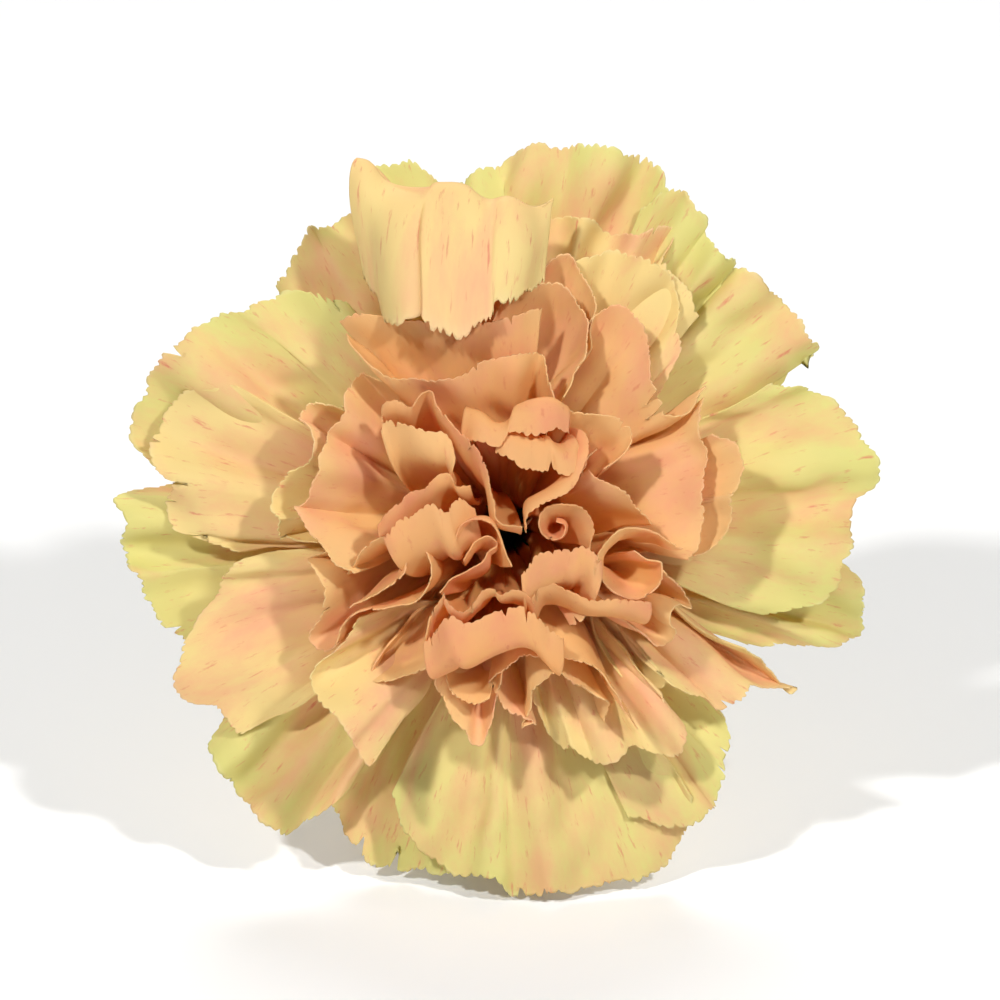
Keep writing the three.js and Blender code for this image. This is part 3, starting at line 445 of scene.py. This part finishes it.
# Notches between the fine teeth of a margin, as a depth in mm at each place along it
def toothedEdge(along, teeth, rng):
    look = dict(width=(0.18, 0.42), depth=(0.25, 1.0), slit=(0.6, 1.6), pitch=(0.55, 1.5), blunt=0.8,
                lobes=((8.0, 0.6), (3.6, 0.4)))
    depth = np.zeros_like(along)
    at = rng.uniform(0.2, teeth["pitch"])
    while at < along[-1]:
        width = rng.uniform(*look["width"]) * teeth["pitch"]
        deep = teeth["deep"] * rng.uniform(*look["depth"])
        if rng.random() < teeth["slits"]:
            deep += rng.uniform(*look["slit"])
        notch = np.clip(1 - np.abs(along - at) / width, 0, 1) ** look["blunt"]
        depth = np.maximum(depth, deep * notch)
        at += teeth["pitch"] * rng.uniform(*look["pitch"])
    # Broad shallow lobes under the teeth
    lobes = np.zeros_like(along)
    for size, share in look["lobes"]:
        turn = 2 * math.pi * along / size + rng.uniform(0, 2 * math.pi)
        lobes = lobes + share * (1 + np.sin(turn)) / 2
    return depth + teeth["lobe"] * lobes


# The fold under the margin wanders, so that no two stretches of the blade bend alike
def wandering(along, far, rng):
    stray = np.zeros((len(along), 3))
    for wave, share in ((14.0, 0.7), (7.0, 0.3)):
        phases = rng.uniform(0, 2 * math.pi, 3)
        stray = stray + far * share * np.sin(2 * math.pi * along[:, None] / wave + phases)
    return stray


# Ruffles: broad waves that grow towards the margin, with smaller ones on them
def ruffles(along, reach, ruffle, rng):
    look = dict(smaller=0.43, broadFrom=3.5, smallFrom=14, calm=0.12)
    phase = rng.uniform(0, 2 * math.pi, 4)
    turn = 2 * math.pi * along / ruffle["wave"]
    broad = np.sin(turn + phase[0] + 0.8 * np.sin(along / 5 + phase[1]))
    small = np.sin(turn / look["smaller"] + phase[2] + 1.6 * np.sin(along / 4 + phase[3]))
    share = along / along[-1]
    calm = smooth(share, 0, look["calm"]) * smooth(1 - share, 0, look["calm"])
    lift = ruffle["high"] * broad[None, :] * reach ** look["broadFrom"]
    lift = lift + ruffle["fine"] * small[None, :] * reach ** look["smallFrom"]
    return lift * calm[None, :]


# Broad soft dents that cross the face of a petal at a slant
def dents(x, y, rng):
    total = 0
    for size, share in ((15, 1.0), (9, 0.5), (5, 0.2)):
        for _ in range(2):
            slant, phase = rng.uniform(0, 2 * math.pi, 2)
            along = x * math.cos(slant) + y * math.sin(slant)
            total = total + share * np.sin(2 * math.pi * along / size + phase)
    return total


def gridNormals(grid):
    return unit(np.cross(np.gradient(grid, axis=1), np.gradient(grid, axis=0)))


def restOnSurface(points, half):
    short = surfaceHeight + half - points @ upAcross
    return points + np.maximum(short, 0)[..., None] * upAcross


# The narrow claw, from its foot down inside the calyx to the row at its mouth
def clawGrid(ring, place, mouth):
    foot = polar(place["angle"], ring["foot"], -calyxSize["length"] + calyxSize["wall"] + clearance)
    side = mouth - mouth.mean(axis=0)
    down = np.linspace(0, 1, bladeShape["clawRows"], endpoint=False)[:, None, None]
    return (foot + side * ring["footWidth"]) * (1 - down) + mouth * down


# A thin shell over a piece's mesh, to both sides of it
def addThickness(piece, thick):
    shell = piece.modifiers.new("thickness", "SOLIDIFY")
    shell.thickness = thick * mm
    shell.offset = 0
    return shell


def petalPiece(name, petal, ring, place, number):
    rng = np.random.default_rng(ring["seed"] * 100 + number)
    length = throughPoints(marginOf(petal), None)
    columns = int(np.clip(length / bladeShape["column"], *bladeShape["columns"]))
    along = np.linspace(0, length, columns)
    teeth = toothedEdge(along, ring["teeth"], rng)
    stray = wandering(along, ring["ruffle"]["stray"], rng)
    plain, _ = bladeGrid(petal, ring, place, columns, np.ones(columns), stray)
    bladeLength = np.linalg.norm(np.diff(plain, axis=0), axis=2).sum(axis=0)
    ends = 1 - np.minimum(teeth / np.maximum(bladeLength, 1), bladeShape["deepest"])
    grid, reach = bladeGrid(petal, ring, place, columns, ends, stray)
    lift = ruffles(along, reach, ring["ruffle"], rng)
    soft = dents(along[None, :] * (0.4 + 0.6 * reach), reach * bladeLength[None, :], rng)
    lift = lift + ring["ruffle"]["dent"] * soft * smooth(reach, 0.25, 0.6)
    grid = restOnSurface(grid + gridNormals(grid) * lift[..., None], bloom["petalThick"] / 2)
    grid = np.concatenate([clawGrid(ring, place, grid[0]), grid], axis=0)
    reach = np.concatenate([np.zeros((bladeShape["clawRows"], columns)), reach], axis=0)
    # Each petal has a stretch of its own across the markings
    across = np.broadcast_to(along[None, :] / 10 + number * 7.3, reach.shape)
    piece = gridMesh(name, grid, np.stack([across, reach], axis=-1))
    thin = piece.vertex_groups.new(name="thick")
    thickness = 1 - bladeShape["edgeThinning"] * smooth(reach, 0.55, 1.0).ravel()
    for index, share in enumerate(thickness.tolist()):
        thin.add([index], share, "REPLACE")
    shell = addThickness(piece, bloom["petalThick"])
    shell.vertex_group = "thick"
    return piece


# Claws stand evenly round their ring, turned to lie as near as they can below their own blades
def clawPlaces(petals):
    middles = []
    for petal in petals:
        spot = np.sum(marginOf(petal), axis=0)
        middles.append(math.degrees(math.atan2(spot[1], spot[0])) % 360)
    order = np.argsort(middles, kind="stable")
    step = 360 / len(petals)
    shift = np.mean([middles[which] - count * step for count, which in enumerate(order)])
    places = [None] * len(petals)
    for count, which in enumerate(order):
        places[which] = dict(angle=shift + count * step, raised=(count % 2) * bladeShape["overlap"])
    return places


# "rise" is how far the blades climb out of the calyx before they open, and "flare" how much they
# spread on the way. "bunch" above 1 draws the rows together towards the margin.
def ringOf(name, petals, seed, rise, flare, rows, bunch, ruffle, teeth):
    return dict(name=name, petals=petals, seed=seed, rise=rise, flare=flare, rows=rows, bunch=bunch,
                ruffle=ruffle, teeth=teeth)


rings = [
    ringOf("guard_petal", guardPetals, 1, 6, 0.55, 46, 1.3,
           dict(high=0.4, fine=0.07, wave=12, dent=0.34, stray=0.8),
           dict(pitch=0.95, deep=0.45, slits=0.06, lobe=0.7)),
    ringOf("outer_petal", outerPetals, 2, 8, 0.4, 48, 1.4,
           dict(high=0.4, fine=0.07, wave=11, dent=0.3, stray=0.9),
           dict(pitch=0.85, deep=0.38, slits=0.05, lobe=0.6)),
    ringOf("middle_petal", middlePetals, 3, 10, 0.3, 46, 1.5,
           dict(high=0.3, fine=0.07, wave=9, dent=0.28, stray=1),
           dict(pitch=0.8, deep=0.34, slits=0.04, lobe=0.5)),
    ringOf("inner_petal", innerPetals, 4, 11, 0.22, 48, 1.7,
           dict(high=0.25, fine=0.06, wave=8, dent=0.22, stray=1),
           dict(pitch=0.75, deep=0.36, slits=0.05, lobe=0.4)),
    ringOf("heart_petal", heartPetals, 5, 12, 0.16, 56, 1.9,
           dict(high=0.28, fine=0.06, wave=7, dent=0.18, stray=1.1),
           dict(pitch=0.65, deep=0.45, slits=0.08, lobe=0.4)),
]

# Rings of claws fill the calyx between its wall and the pistil, as in the solids
halfClaw = 0.2
clawIn = calyxSize["wall"] + clearance + halfClaw
innerFoot = pistilSize["radius"] + clearance + halfClaw
clawPitch = (calyxSize["base"] - clawIn - innerFoot) / (len(rings) - 1)
for count, ring in enumerate(rings):
    ring["foot"] = calyxSize["base"] - clawIn - count * clawPitch
    ring["claw"] = calyxSize["mouth"] - clawIn - count * clawPitch
    room = 2 * math.pi * ring["foot"] / len(ring["petals"]) - clearance
    ring["footWidth"] = min(1.0, room / bloom["clawWidth"])


def rgb(code):
    parts = [int(code[i:i + 2], 16) / 255 for i in (0, 2, 4)]
    return tuple(p / 12.92 if p <= 0.04045 else ((p + 0.055) / 1.055) ** 2.4 for p in parts)


def grey(value):
    return (value, value, value)


def newMaterial(name):
    material = bpy.data.materials.new(name)
    material.use_nodes = True
    nodes = material.node_tree.nodes
    nodes.clear()
    shader = nodes.new("ShaderNodeBsdfPrincipled")
    output = nodes.new("ShaderNodeOutputMaterial")
    material.node_tree.links.new(shader.outputs["BSDF"], output.inputs["Surface"])
    return material, nodes, material.node_tree.links.new, shader


# Where a point lies on its piece: across it and, from 0 to 1, along it
def placeOn(nodes, link):
    place = nodes.new("ShaderNodeUVMap")
    place.uv_map = "pieceUV"
    split = nodes.new("ShaderNodeSeparateXYZ")
    link(place.outputs["UV"], split.inputs[0])
    return place.outputs["UV"], split.outputs["Y"]


def ramp(nodes, link, value, places):
    node = nodes.new("ShaderNodeValToRGB")
    while len(node.color_ramp.elements) > 1:
        node.color_ramp.elements.remove(node.color_ramp.elements[-1])
    for count, (at, colour) in enumerate(places):
        stop = node.color_ramp.elements[0] if count == 0 else node.color_ramp.elements.new(at)
        stop.position = at
        stop.color = (*colour, 1)
    link(value, node.inputs["Fac"])
    return node.outputs["Color"]


def stretched(nodes, link, place, scale, location=(0, 0, 0)):
    node = nodes.new("ShaderNodeMapping")
    node.inputs["Scale"].default_value = scale
    node.inputs["Location"].default_value = location
    link(place, node.inputs["Vector"])
    return node.outputs["Vector"]


def noise(nodes, link, place, scale, detail, roughness=0.5):
    node = nodes.new("ShaderNodeTexNoise")
    node.inputs["Scale"].default_value = scale
    node.inputs["Detail"].default_value = detail
    node.inputs["Roughness"].default_value = roughness
    link(place, node.inputs["Vector"])
    return node.outputs["Fac"]


# A share of a value added to another
def added(nodes, link, value, share, base):
    node = nodes.new("ShaderNodeMath")
    node.operation = "MULTIPLY_ADD"
    node.inputs[1].default_value = share
    link(value, node.inputs[0])
    link(base, node.inputs[2])
    return node.outputs[0]


def lowered(nodes, link, value, drop):
    node = nodes.new("ShaderNodeMath")
    node.operation = "SUBTRACT"
    node.inputs[1].default_value = drop
    link(value, node.inputs[0])
    return node.outputs[0]


def tinted(nodes, link, factor, under, colour):
    node = nodes.new("ShaderNodeMix")
    node.data_type = "RGBA"
    node.inputs["B"].default_value = (*colour, 1)
    link(factor, node.inputs["Factor"])
    link(under, node.inputs["A"])
    return node.outputs["Result"]


def addBump(nodes, link, shader, height, strength, distance):
    node = nodes.new("ShaderNodeBump")
    node.inputs["Strength"].default_value = strength
    node.inputs["Distance"].default_value = distance * mm
    link(height, node.inputs["Height"])
    link(node.outputs["Normal"], shader.inputs["Normal"])


# Light comes through a petal, so "through" is how much of its skin is translucent
def petalMaterial(name, look):
    material, nodes, link, shader = newMaterial(name)
    place, reach = placeOn(nodes, link)
    # Colour by how far along the petal, broken up so that the colours run into one another. The deeper
    # orange towards the claw is partly the petal's own colour and partly painted shade down in the throats
    fibres = noise(nodes, link, stretched(nodes, link, place, (14, 0.9, 1)), 1.0, 3.0)
    blotch = noise(nodes, link, place, 1.3, 2.0)
    shifted = added(nodes, link, fibres, look["rays"], reach)
    shifted = added(nodes, link, blotch, look["blotch"], shifted)
    centred = lowered(nodes, link, shifted, (look["rays"] + look["blotch"]) / 2)
    colour = ramp(nodes, link, centred, look["blade"])
    # A rosy blush in soft patches
    patch = stretched(nodes, link, place, (1.1, 2.4, 1), (7.7, 0.4, 0))
    cloud = noise(nodes, link, patch, 1.0, 7.0, 0.6)
    rosy = ramp(nodes, link, cloud, [(0.0, grey(0)), (0.46, grey(0)), (0.66, grey(look["blush"]))])
    colour = tinted(nodes, link, rosy, colour, look["rosy"])
    # Sparse pink streaks along the veins
    thin = stretched(nodes, link, place, (15, 11, 1), (3.1, 1.7, 0))
    streaks = noise(nodes, link, thin, 1.0, 4.0, 0.65)
    start = look["streakFrom"]
    marks = [(0.0, grey(0)), (start, grey(0)), (start + 0.12, grey(look["streak"]))]
    colour = tinted(nodes, link, ramp(nodes, link, streaks, marks), colour, look["pink"])
    # The edge is thin and pale
    rim = ramp(nodes, link, reach, [(0.0, grey(0)), (0.98, grey(0)), (1.0, grey(0.3))])
    colour = tinted(nodes, link, rim, colour, look["edge"])
    link(colour, shader.inputs["Base Color"])
    # Fine veins
    ribs = noise(nodes, link, stretched(nodes, link, place, (26, 1.6, 1)), 1.0, 2.0)
    addBump(nodes, link, shader, ribs, 0.2, 0.04)
    shader.inputs["Roughness"].default_value = 0.6
    shader.inputs["Specular IOR Level"].default_value = 0.25
    through = nodes.new("ShaderNodeBsdfTranslucent")
    link(colour, through.inputs["Color"])
    both = nodes.new("ShaderNodeMixShader")
    both.inputs["Fac"].default_value = look["through"]
    link(shader.outputs["BSDF"], both.inputs[1])
    link(through.outputs["BSDF"], both.inputs[2])
    link(both.outputs["Shader"], nodes["Material Output"].inputs["Surface"])
    return material


def stops(*places):
    return [(at, rgb(code)) for at, code in places]


# The low "blade" stops, deep orange near the claw, are partly the petal's own colour and partly painted
# shade in the throats between petals
petalLooks = {
    "guard_petal": dict(
        blade=stops((0.1, "e49a54"), (0.3, "f2b27c"), (0.42, "f4ca90"), (0.6, "f1de94"), (1.0, "e6df8c")),
        rays=0.03, blotch=0.42, rosy=rgb("f4ae8c"), blush=0.6, pink=rgb("e07868"), streak=0.7,
        streakFrom=0.6, edge=rgb("f4eec0"), through=0.25),
    "outer_petal": dict(
        blade=stops((0.1, "e4944c"), (0.35, "f2b87e"), (0.6, "f6ce8e"), (0.9, "f5dd96")),
        rays=0.03, blotch=0.45, rosy=rgb("f6ae8e"), blush=0.65, pink=rgb("e07868"), streak=0.7,
        streakFrom=0.6, edge=rgb("f6e8b8"), through=0.25),
    "middle_petal": dict(
        blade=stops((0.1, "f2ac54"), (0.6, "f8c882"), (0.85, "f9cc8c"), (1.0, "f7d292")),
        rays=0.05, blotch=0.4, rosy=rgb("f8b090"), blush=0.6, pink=rgb("e27c66"), streak=0.45,
        streakFrom=0.6, edge=rgb("f8d8a8"), through=0.3),
    "inner_petal": dict(
        blade=stops((0.1, "f4b254"), (0.6, "f9c87e"), (0.85, "facc88"), (1.0, "f8ce8e")),
        rays=0.04, blotch=0.4, rosy=rgb("f8b08e"), blush=0.5, pink=rgb("e27c66"), streak=0.35,
        streakFrom=0.6, edge=rgb("f8d0a0"), through=0.35),
    "heart_petal": dict(
        blade=stops((0.1, "f0a650"), (0.6, "f7c078"), (0.85, "f8c684"), (1.0, "f7c88a")),
        rays=0.04, blotch=0.4, rosy=rgb("f6aa88"), blush=0.6, pink=rgb("dd7460"), streak=0.35,
        streakFrom=0.6, edge=rgb("f8cc98"), through=0.42),
}


def finishPiece(piece, node, material):
    piece.data.materials.append(material)
    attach(piece, "root")
    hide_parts(node)


for ring in rings:
    skin = petalMaterial(ring["name"] + "_skin", petalLooks[ring["name"]])
    places = clawPlaces(ring["petals"])
    for count, petal in enumerate(ring["petals"]):
        node = "%s_%02d" % (ring["name"], count + 1)
        piece = petalPiece(node + "_blade", petal, ring, places[count], count + 1)
        finishPiece(piece, node, skin)
    print(ring["name"], "made")


# A grid of points round the axis, from their distances from it and their heights
def roundGrid(radii, heights, angles):
    return np.stack([radii * np.cos(angles), radii * np.sin(angles), heights], axis=-1)


def placesOn(across, along):
    return np.stack(np.broadcast_arrays(across, along), axis=-1)


def calyxRadius(height):
    share = np.clip(-height / calyxSize["length"], 0, 1)
    return calyxSize["mouth"] + (calyxSize["base"] - calyxSize["mouth"]) * share


# A tube with five teeth, a rounded foot and low ribs
def calyxPiece():
    look = dict(around=180, rows=56, rib=0.09, ribs=25, heel=1.6, thick=0.5, flare=0.55, heelRows=8,
                pointed=1.2, flareBelow=2)
    turns = np.linspace(0, 2 * math.pi, look["around"] + 1)
    pitch = 2 * math.pi / calyxSize["teeth"]
    fromTip = np.abs((turns - math.pi / 2 + pitch / 2) % pitch - pitch / 2) / (pitch / 2)
    top = -calyxSize["tooth"] * fromTip ** look["pointed"]
    low = -calyxSize["length"] + look["heel"]
    share = np.linspace(0, 1, look["rows"])[:, None]
    heights = low + (top[None, :] - low) * share
    spread = look["flare"] * smooth(heights, -calyxSize["tooth"] - look["flareBelow"], 0)
    ribs = look["rib"] * np.cos(look["ribs"] * turns)[None, :] * smooth(share, 0.02, 0.3)
    half = look["thick"] / 2
    tube = roundGrid(calyxRadius(heights) - half + spread + ribs, heights, turns[None, :])
    bends = np.linspace(0, math.pi / 2, look["heelRows"])[:, None]
    level = np.zeros((1, len(turns)))
    heelRadii = calyxSize["base"] - half - look["heel"] * (1 - np.sin(bends)) + level
    heel = roundGrid(heelRadii, low - look["heel"] * np.cos(bends) + half + level, turns[None, :])
    middle = np.zeros((1, len(turns), 3)) + [0, 0, -calyxSize["length"] + half]
    grid = np.concatenate([middle, heel[:-1], tube], axis=0)
    uv = placesOn(turns[None, :], np.linspace(0, 1, len(grid))[:, None])
    piece = gridMesh("calyx_tube", grid, uv, seam=True)
    addThickness(piece, look["thick"])
    return piece


# A pointed scale that clasps the calyx, its keel standing off at the foot
def bractPiece(number):
    look = dict(columns=24, rows=36, thick=0.34, keel=0.22, curl=0.5, tuck=0.3, foot=0.55, tip=0.12)
    share = np.linspace(0, 1, look["rows"])[:, None]
    across = np.linspace(-1, 1, look["columns"])[None, :]
    widening = look["foot"] + (1 - look["foot"]) * smooth(share, 0, 0.35)
    narrowing = (1 - smooth(share, 0.45, 1.02)) ** 0.75
    width = np.maximum(bractSize["width"] / 2 * widening * narrowing, look["tip"])
    height = bractSize["lift"] - calyxSize["length"] + bractSize["length"] * share
    outer = number % 2
    proud = clearance + bractSize["thick"] * (0.5 + outer) + clearance * outer
    radius = calyxRadius(height) + proud + look["keel"] * (1 - across ** 2) * (1 - share)
    radius = radius + look["curl"] * smooth(share, 0.8, 1) - look["tuck"] * smooth(1 - share, 0.9, 1)
    angle = number * math.pi / 2 + across * width / radius
    grid = roundGrid(radius, height + 0 * across, angle)
    piece = gridMesh("bract_scale_%d" % (number + 1), grid, placesOn(across * width / 4, share))
    addThickness(piece, look["thick"])
    return piece


# A round stem with fine grooves, a collar at its top and a slanting cut
def stemPiece():
    look = dict(around=72, rows=70, collar=1.35, collarLength=4, grooves=18, groove=0.04, cutRings=5,
                crown=0.25, crownRings=(0.0, 0.45, 0.8), waist=0.06, waistLength=0.9)
    turns = np.linspace(0, 2 * math.pi, look["around"] + 1)
    top = -calyxSize["length"] - clearance
    cutSlope = math.tan(math.radians(stemSize["cut"]))
    low = -wholeLength + cutSlope * (stemRadius * np.sin(turns) + stemRadius)
    share = np.linspace(0, 1, look["rows"])[:, None]
    heights = top + (low[None, :] - top) * share
    below = top - heights
    swell = 1 + (look["collar"] - 1) * (1 - smooth(below, 0, look["collarLength"]))
    grooves = look["groove"] * (np.cos(look["grooves"] * turns)[None, :] - 1) * smooth(below, 0.5, 5)
    waist = look["waist"] * np.exp(-((below - look["collarLength"]) / look["waistLength"]) ** 2)
    radii = stemRadius * swell + grooves - waist
    rows = []
    for part in look["crownRings"]:
        rows.append(roundGrid(radii[0] * part, heights[0] + look["crown"] * (1 - part), turns)[None])
    rows.append(roundGrid(radii, heights, turns[None, :]))
    for ring in range(1, look["cutRings"] + 1):
        radius = radii[-1] * (1 - ring / look["cutRings"])
        height = -wholeLength + cutSlope * (radius * np.sin(turns) + stemRadius)
        rows.append(roundGrid(radius, height, turns)[None])
    cut = 1 + np.arange(1, look["cutRings"] + 1) / look["cutRings"]
    along = np.concatenate([np.zeros(len(look["crownRings"])), share[:, 0], cut])[:, None]
    return gridMesh("cut_stem", np.concatenate(rows, axis=0), placesOn(turns[None, :], along), seam=True)


# A plump ovary with a thin curling style to each side
def pistilPiece():
    look = dict(around=24, rows=24, plump=0.6, lobes=6, lobe=0.05, styleRows=40, styleAround=12,
                taper=0.6, tip=0.02)
    low = -calyxSize["length"] + calyxSize["wall"] + clearance
    turns = np.linspace(0, 2 * math.pi, look["around"] + 1)[None, :]
    share = np.linspace(0, 1, look["rows"])[:, None]
    lobes = 1 + look["lobe"] * np.cos(look["lobes"] * turns)
    radii = pistilSize["radius"] * np.sin(math.pi * share) ** look["plump"] * lobes
    grid = roundGrid(radii, low + pistilSize["height"] * share + 0 * turns, turns)
    pieces = [gridMesh("ovary_and_styles", grid, placesOn(turns, share), seam=True)]
    top = low + pistilSize["height"]
    thick, reach, spread = pistilSize["style"], pistilSize["reach"], pistilSize["spread"]
    for side in (-1, 1):
        path = throughPoints([
            [side * thick * 0.35, 0, top - pistilSize["height"] / 4],
            [side * thick * 0.7, 0.2, top + reach * 0.3],
            [side * thick, -0.1, top + reach * 0.65],
            [side * (thick + spread), 0.3, top + reach * 0.94],
            [side * (thick + spread + 0.8), 1.0, top + reach],
        ], look["styleRows"])
        along = np.linspace(0, 1, look["styleRows"])
        half = thick / 2 * (1 - look["taper"] * along ** 2)
        half[-1] = look["tip"]
        around = np.linspace(0, 2 * math.pi, look["styleAround"] + 1)
        ring = roundGrid(1.0, 0 * around, around)
        tube = path[:, None, :] + half[:, None, None] * ring[None, :, :]
        uv = placesOn(around[None, :], along[:, None])
        pieces.append(gridMesh("style_part", tube, uv, seam=True))
    return joined(pieces)


# Colour along the piece, then cloudy patches and fine lines lengthwise
def greenMaterial(name, look):
    material, nodes, link, shader = newMaterial(name)
    place, reach = placeOn(nodes, link)
    colour = ramp(nodes, link, reach, look["along"])
    where = nodes.new("ShaderNodeTexCoord")
    cloud = noise(nodes, link, where.outputs["Object"], 260, 5.0)
    patches = ramp(nodes, link, cloud, [(0.42, grey(0)), (0.68, grey(look["patchy"]))])
    colour = tinted(nodes, link, patches, colour, look["patch"])
    fibre = noise(nodes, link, stretched(nodes, link, place, (look["lines"], 2.0, 1)), 1.0, 3.0)
    dark = ramp(nodes, link, fibre, [(0.35, grey(0.35)), (0.6, grey(0))])
    colour = tinted(nodes, link, dark, colour, look["line"])
    link(colour, shader.inputs["Base Color"])
    addBump(nodes, link, shader, fibre, 0.4, 0.06)
    smoother, rougher = look["rough"] - 0.08, look["rough"] + 0.1
    sheen = ramp(nodes, link, cloud, [(0.3, grey(smoother)), (0.7, grey(rougher))])
    link(sheen, shader.inputs["Roughness"])
    shader.inputs["Subsurface Weight"].default_value = 0.12
    shader.inputs["Subsurface Radius"].default_value = (0.5, 1.0, 0.3)
    shader.inputs["Subsurface Scale"].default_value = 0.8 * mm
    return material


calyxSkin = greenMaterial("calyx_skin", dict(
    along=stops((0.0, "b9c48c"), (0.2, "8fa867"), (0.75, "83a05c"), (0.95, "a8b87a"), (1.0, "d9d3a0")),
    patch=rgb("9fb187"), patchy=0.5, line=rgb("6b8546"), lines=9, rough=0.5))
finishPiece(calyxPiece(), "calyx", calyxSkin)
bractSkin = greenMaterial("bract_skin", dict(
    along=stops((0.0, "a9b684"), (0.5, "8aa465"), (0.85, "9aac72"), (1.0, "d8c896")),
    patch=rgb("a3b48c"), patchy=0.4, line=rgb("6f884a"), lines=7, rough=0.55))
for number in range(4):
    finishPiece(bractPiece(number), "bract_%d" % (number + 1), bractSkin)
stemSkin = greenMaterial("stem_skin", dict(
    along=stops((0.0, "9db27c"), (0.1, "7f9c62"), (0.97, "7b985e"), (0.995, "8aa266"), (1.0, "a9b683")),
    patch=rgb("a5b89a"), patchy=0.45, line=rgb("66814a"), lines=8, rough=0.48))
finishPiece(stemPiece(), "stem", stemSkin)
pistilSkin = greenMaterial("pistil_skin", dict(
    along=stops((0.0, "b6c487"), (0.5, "d2d9a6"), (1.0, "f1ecd0")),
    patch=rgb("dfe3bd"), patchy=0.3, line=rgb("a9b97c"), lines=4, rough=0.5))
finishPiece(pistilPiece(), "pistil", pistilSkin)
print("calyx, bracts, stem and pistil made")


# A pale floor that curves up into a wall, in metres
def addStage():
    look = dict(width=3.0, depth=3.0, back=0.5, rise=2.0, round=0.8, steps=12, colour=(0.93, 0.93, 0.92, 1))
    profile = [(-look["depth"], 0.0), (look["back"], 0.0)]
    for step in range(1, look["steps"] + 1):
        a = math.pi / 2 * step / look["steps"]
        profile.append((look["back"] + look["round"] * math.sin(a), look["round"] * (1 - math.cos(a))))
    profile.append((look["back"] + look["round"], look["rise"]))
    verts = [(x, y, z) for y, z in profile for x in (-look["width"], look["width"])]
    faces = [(i, i + 1, i + 3, i + 2) for i in range(0, len(verts) - 2, 2)]
    mesh = bpy.data.meshes.new("floor")
    mesh.from_pydata(verts, [], faces)
    mesh.polygons.foreach_set("use_smooth", [True] * len(mesh.polygons))
    floor = bpy.data.objects.new("floor", mesh)
    bpy.context.scene.collection.objects.link(floor)
    material, nodes, link, shader = newMaterial("pale_floor")
    shader.inputs["Base Color"].default_value = look["colour"]
    shader.inputs["Roughness"].default_value = 0.8
    mesh.materials.append(material)


# A round soft light, placed and aimed in the bloom's own millimetres
def addLight(name, place, target, size, power):
    light = bpy.data.lights.new(name, "AREA")
    light.shape = "DISK"
    light.size = size
    light.energy = power
    lamp = bpy.data.objects.new(name, light)
    lamp.location = toWorld(place)
    aim = Vector(toWorld(target)) - lamp.location
    lamp.rotation_euler = aim.to_track_quat("-Z", "Y").to_euler()
    bpy.context.scene.collection.objects.link(lamp)


# The camera looks along the bloom's axis, and "width" is what it sees at the face of the bloom
def addCamera():
    view = dict(distance=900, across=-0.5, up=2.8, width=100, face=4, sensor=36)
    camera = bpy.data.cameras.new("camera")
    camera.sensor_width = view["sensor"]
    camera.lens = view["sensor"] * (view["distance"] - view["face"]) / view["width"]
    camera.clip_start = 0.01
    camera.clip_end = 20
    eye = bpy.data.objects.new("camera", camera)
    eye.location = toWorld([view["across"], view["up"], view["distance"]])
    eye.rotation_euler = (math.pi / 2 - lean, 0, 0)
    bpy.context.scene.collection.objects.link(eye)
    bpy.context.scene.camera = eye


addStage()
addLight("key_left", [-310, 330, 600], [0, 0, 10], 0.055, 3.2)
addLight("key_right", [350, 310, 580], [0, 0, 10], 0.055, 3.05)
addLight("front_fill", [0, -60, 900], [0, 0, 0], 0.7, 0.32)
addLight("back_wash", [0, 750, -210], [0, 40, -200], 0.5, 3.2)
world = bpy.data.worlds.new("studio")
world.use_nodes = True
world.node_tree.nodes["Background"].inputs["Color"].default_value = (1, 1, 1, 1)
world.node_tree.nodes["Background"].inputs["Strength"].default_value = 0.05
bpy.context.scene.world = world
bpy.context.scene.view_settings.view_transform = "Standard"
addCamera()
print("floor, lights and camera placed")

bpy.context.view_layer.update()
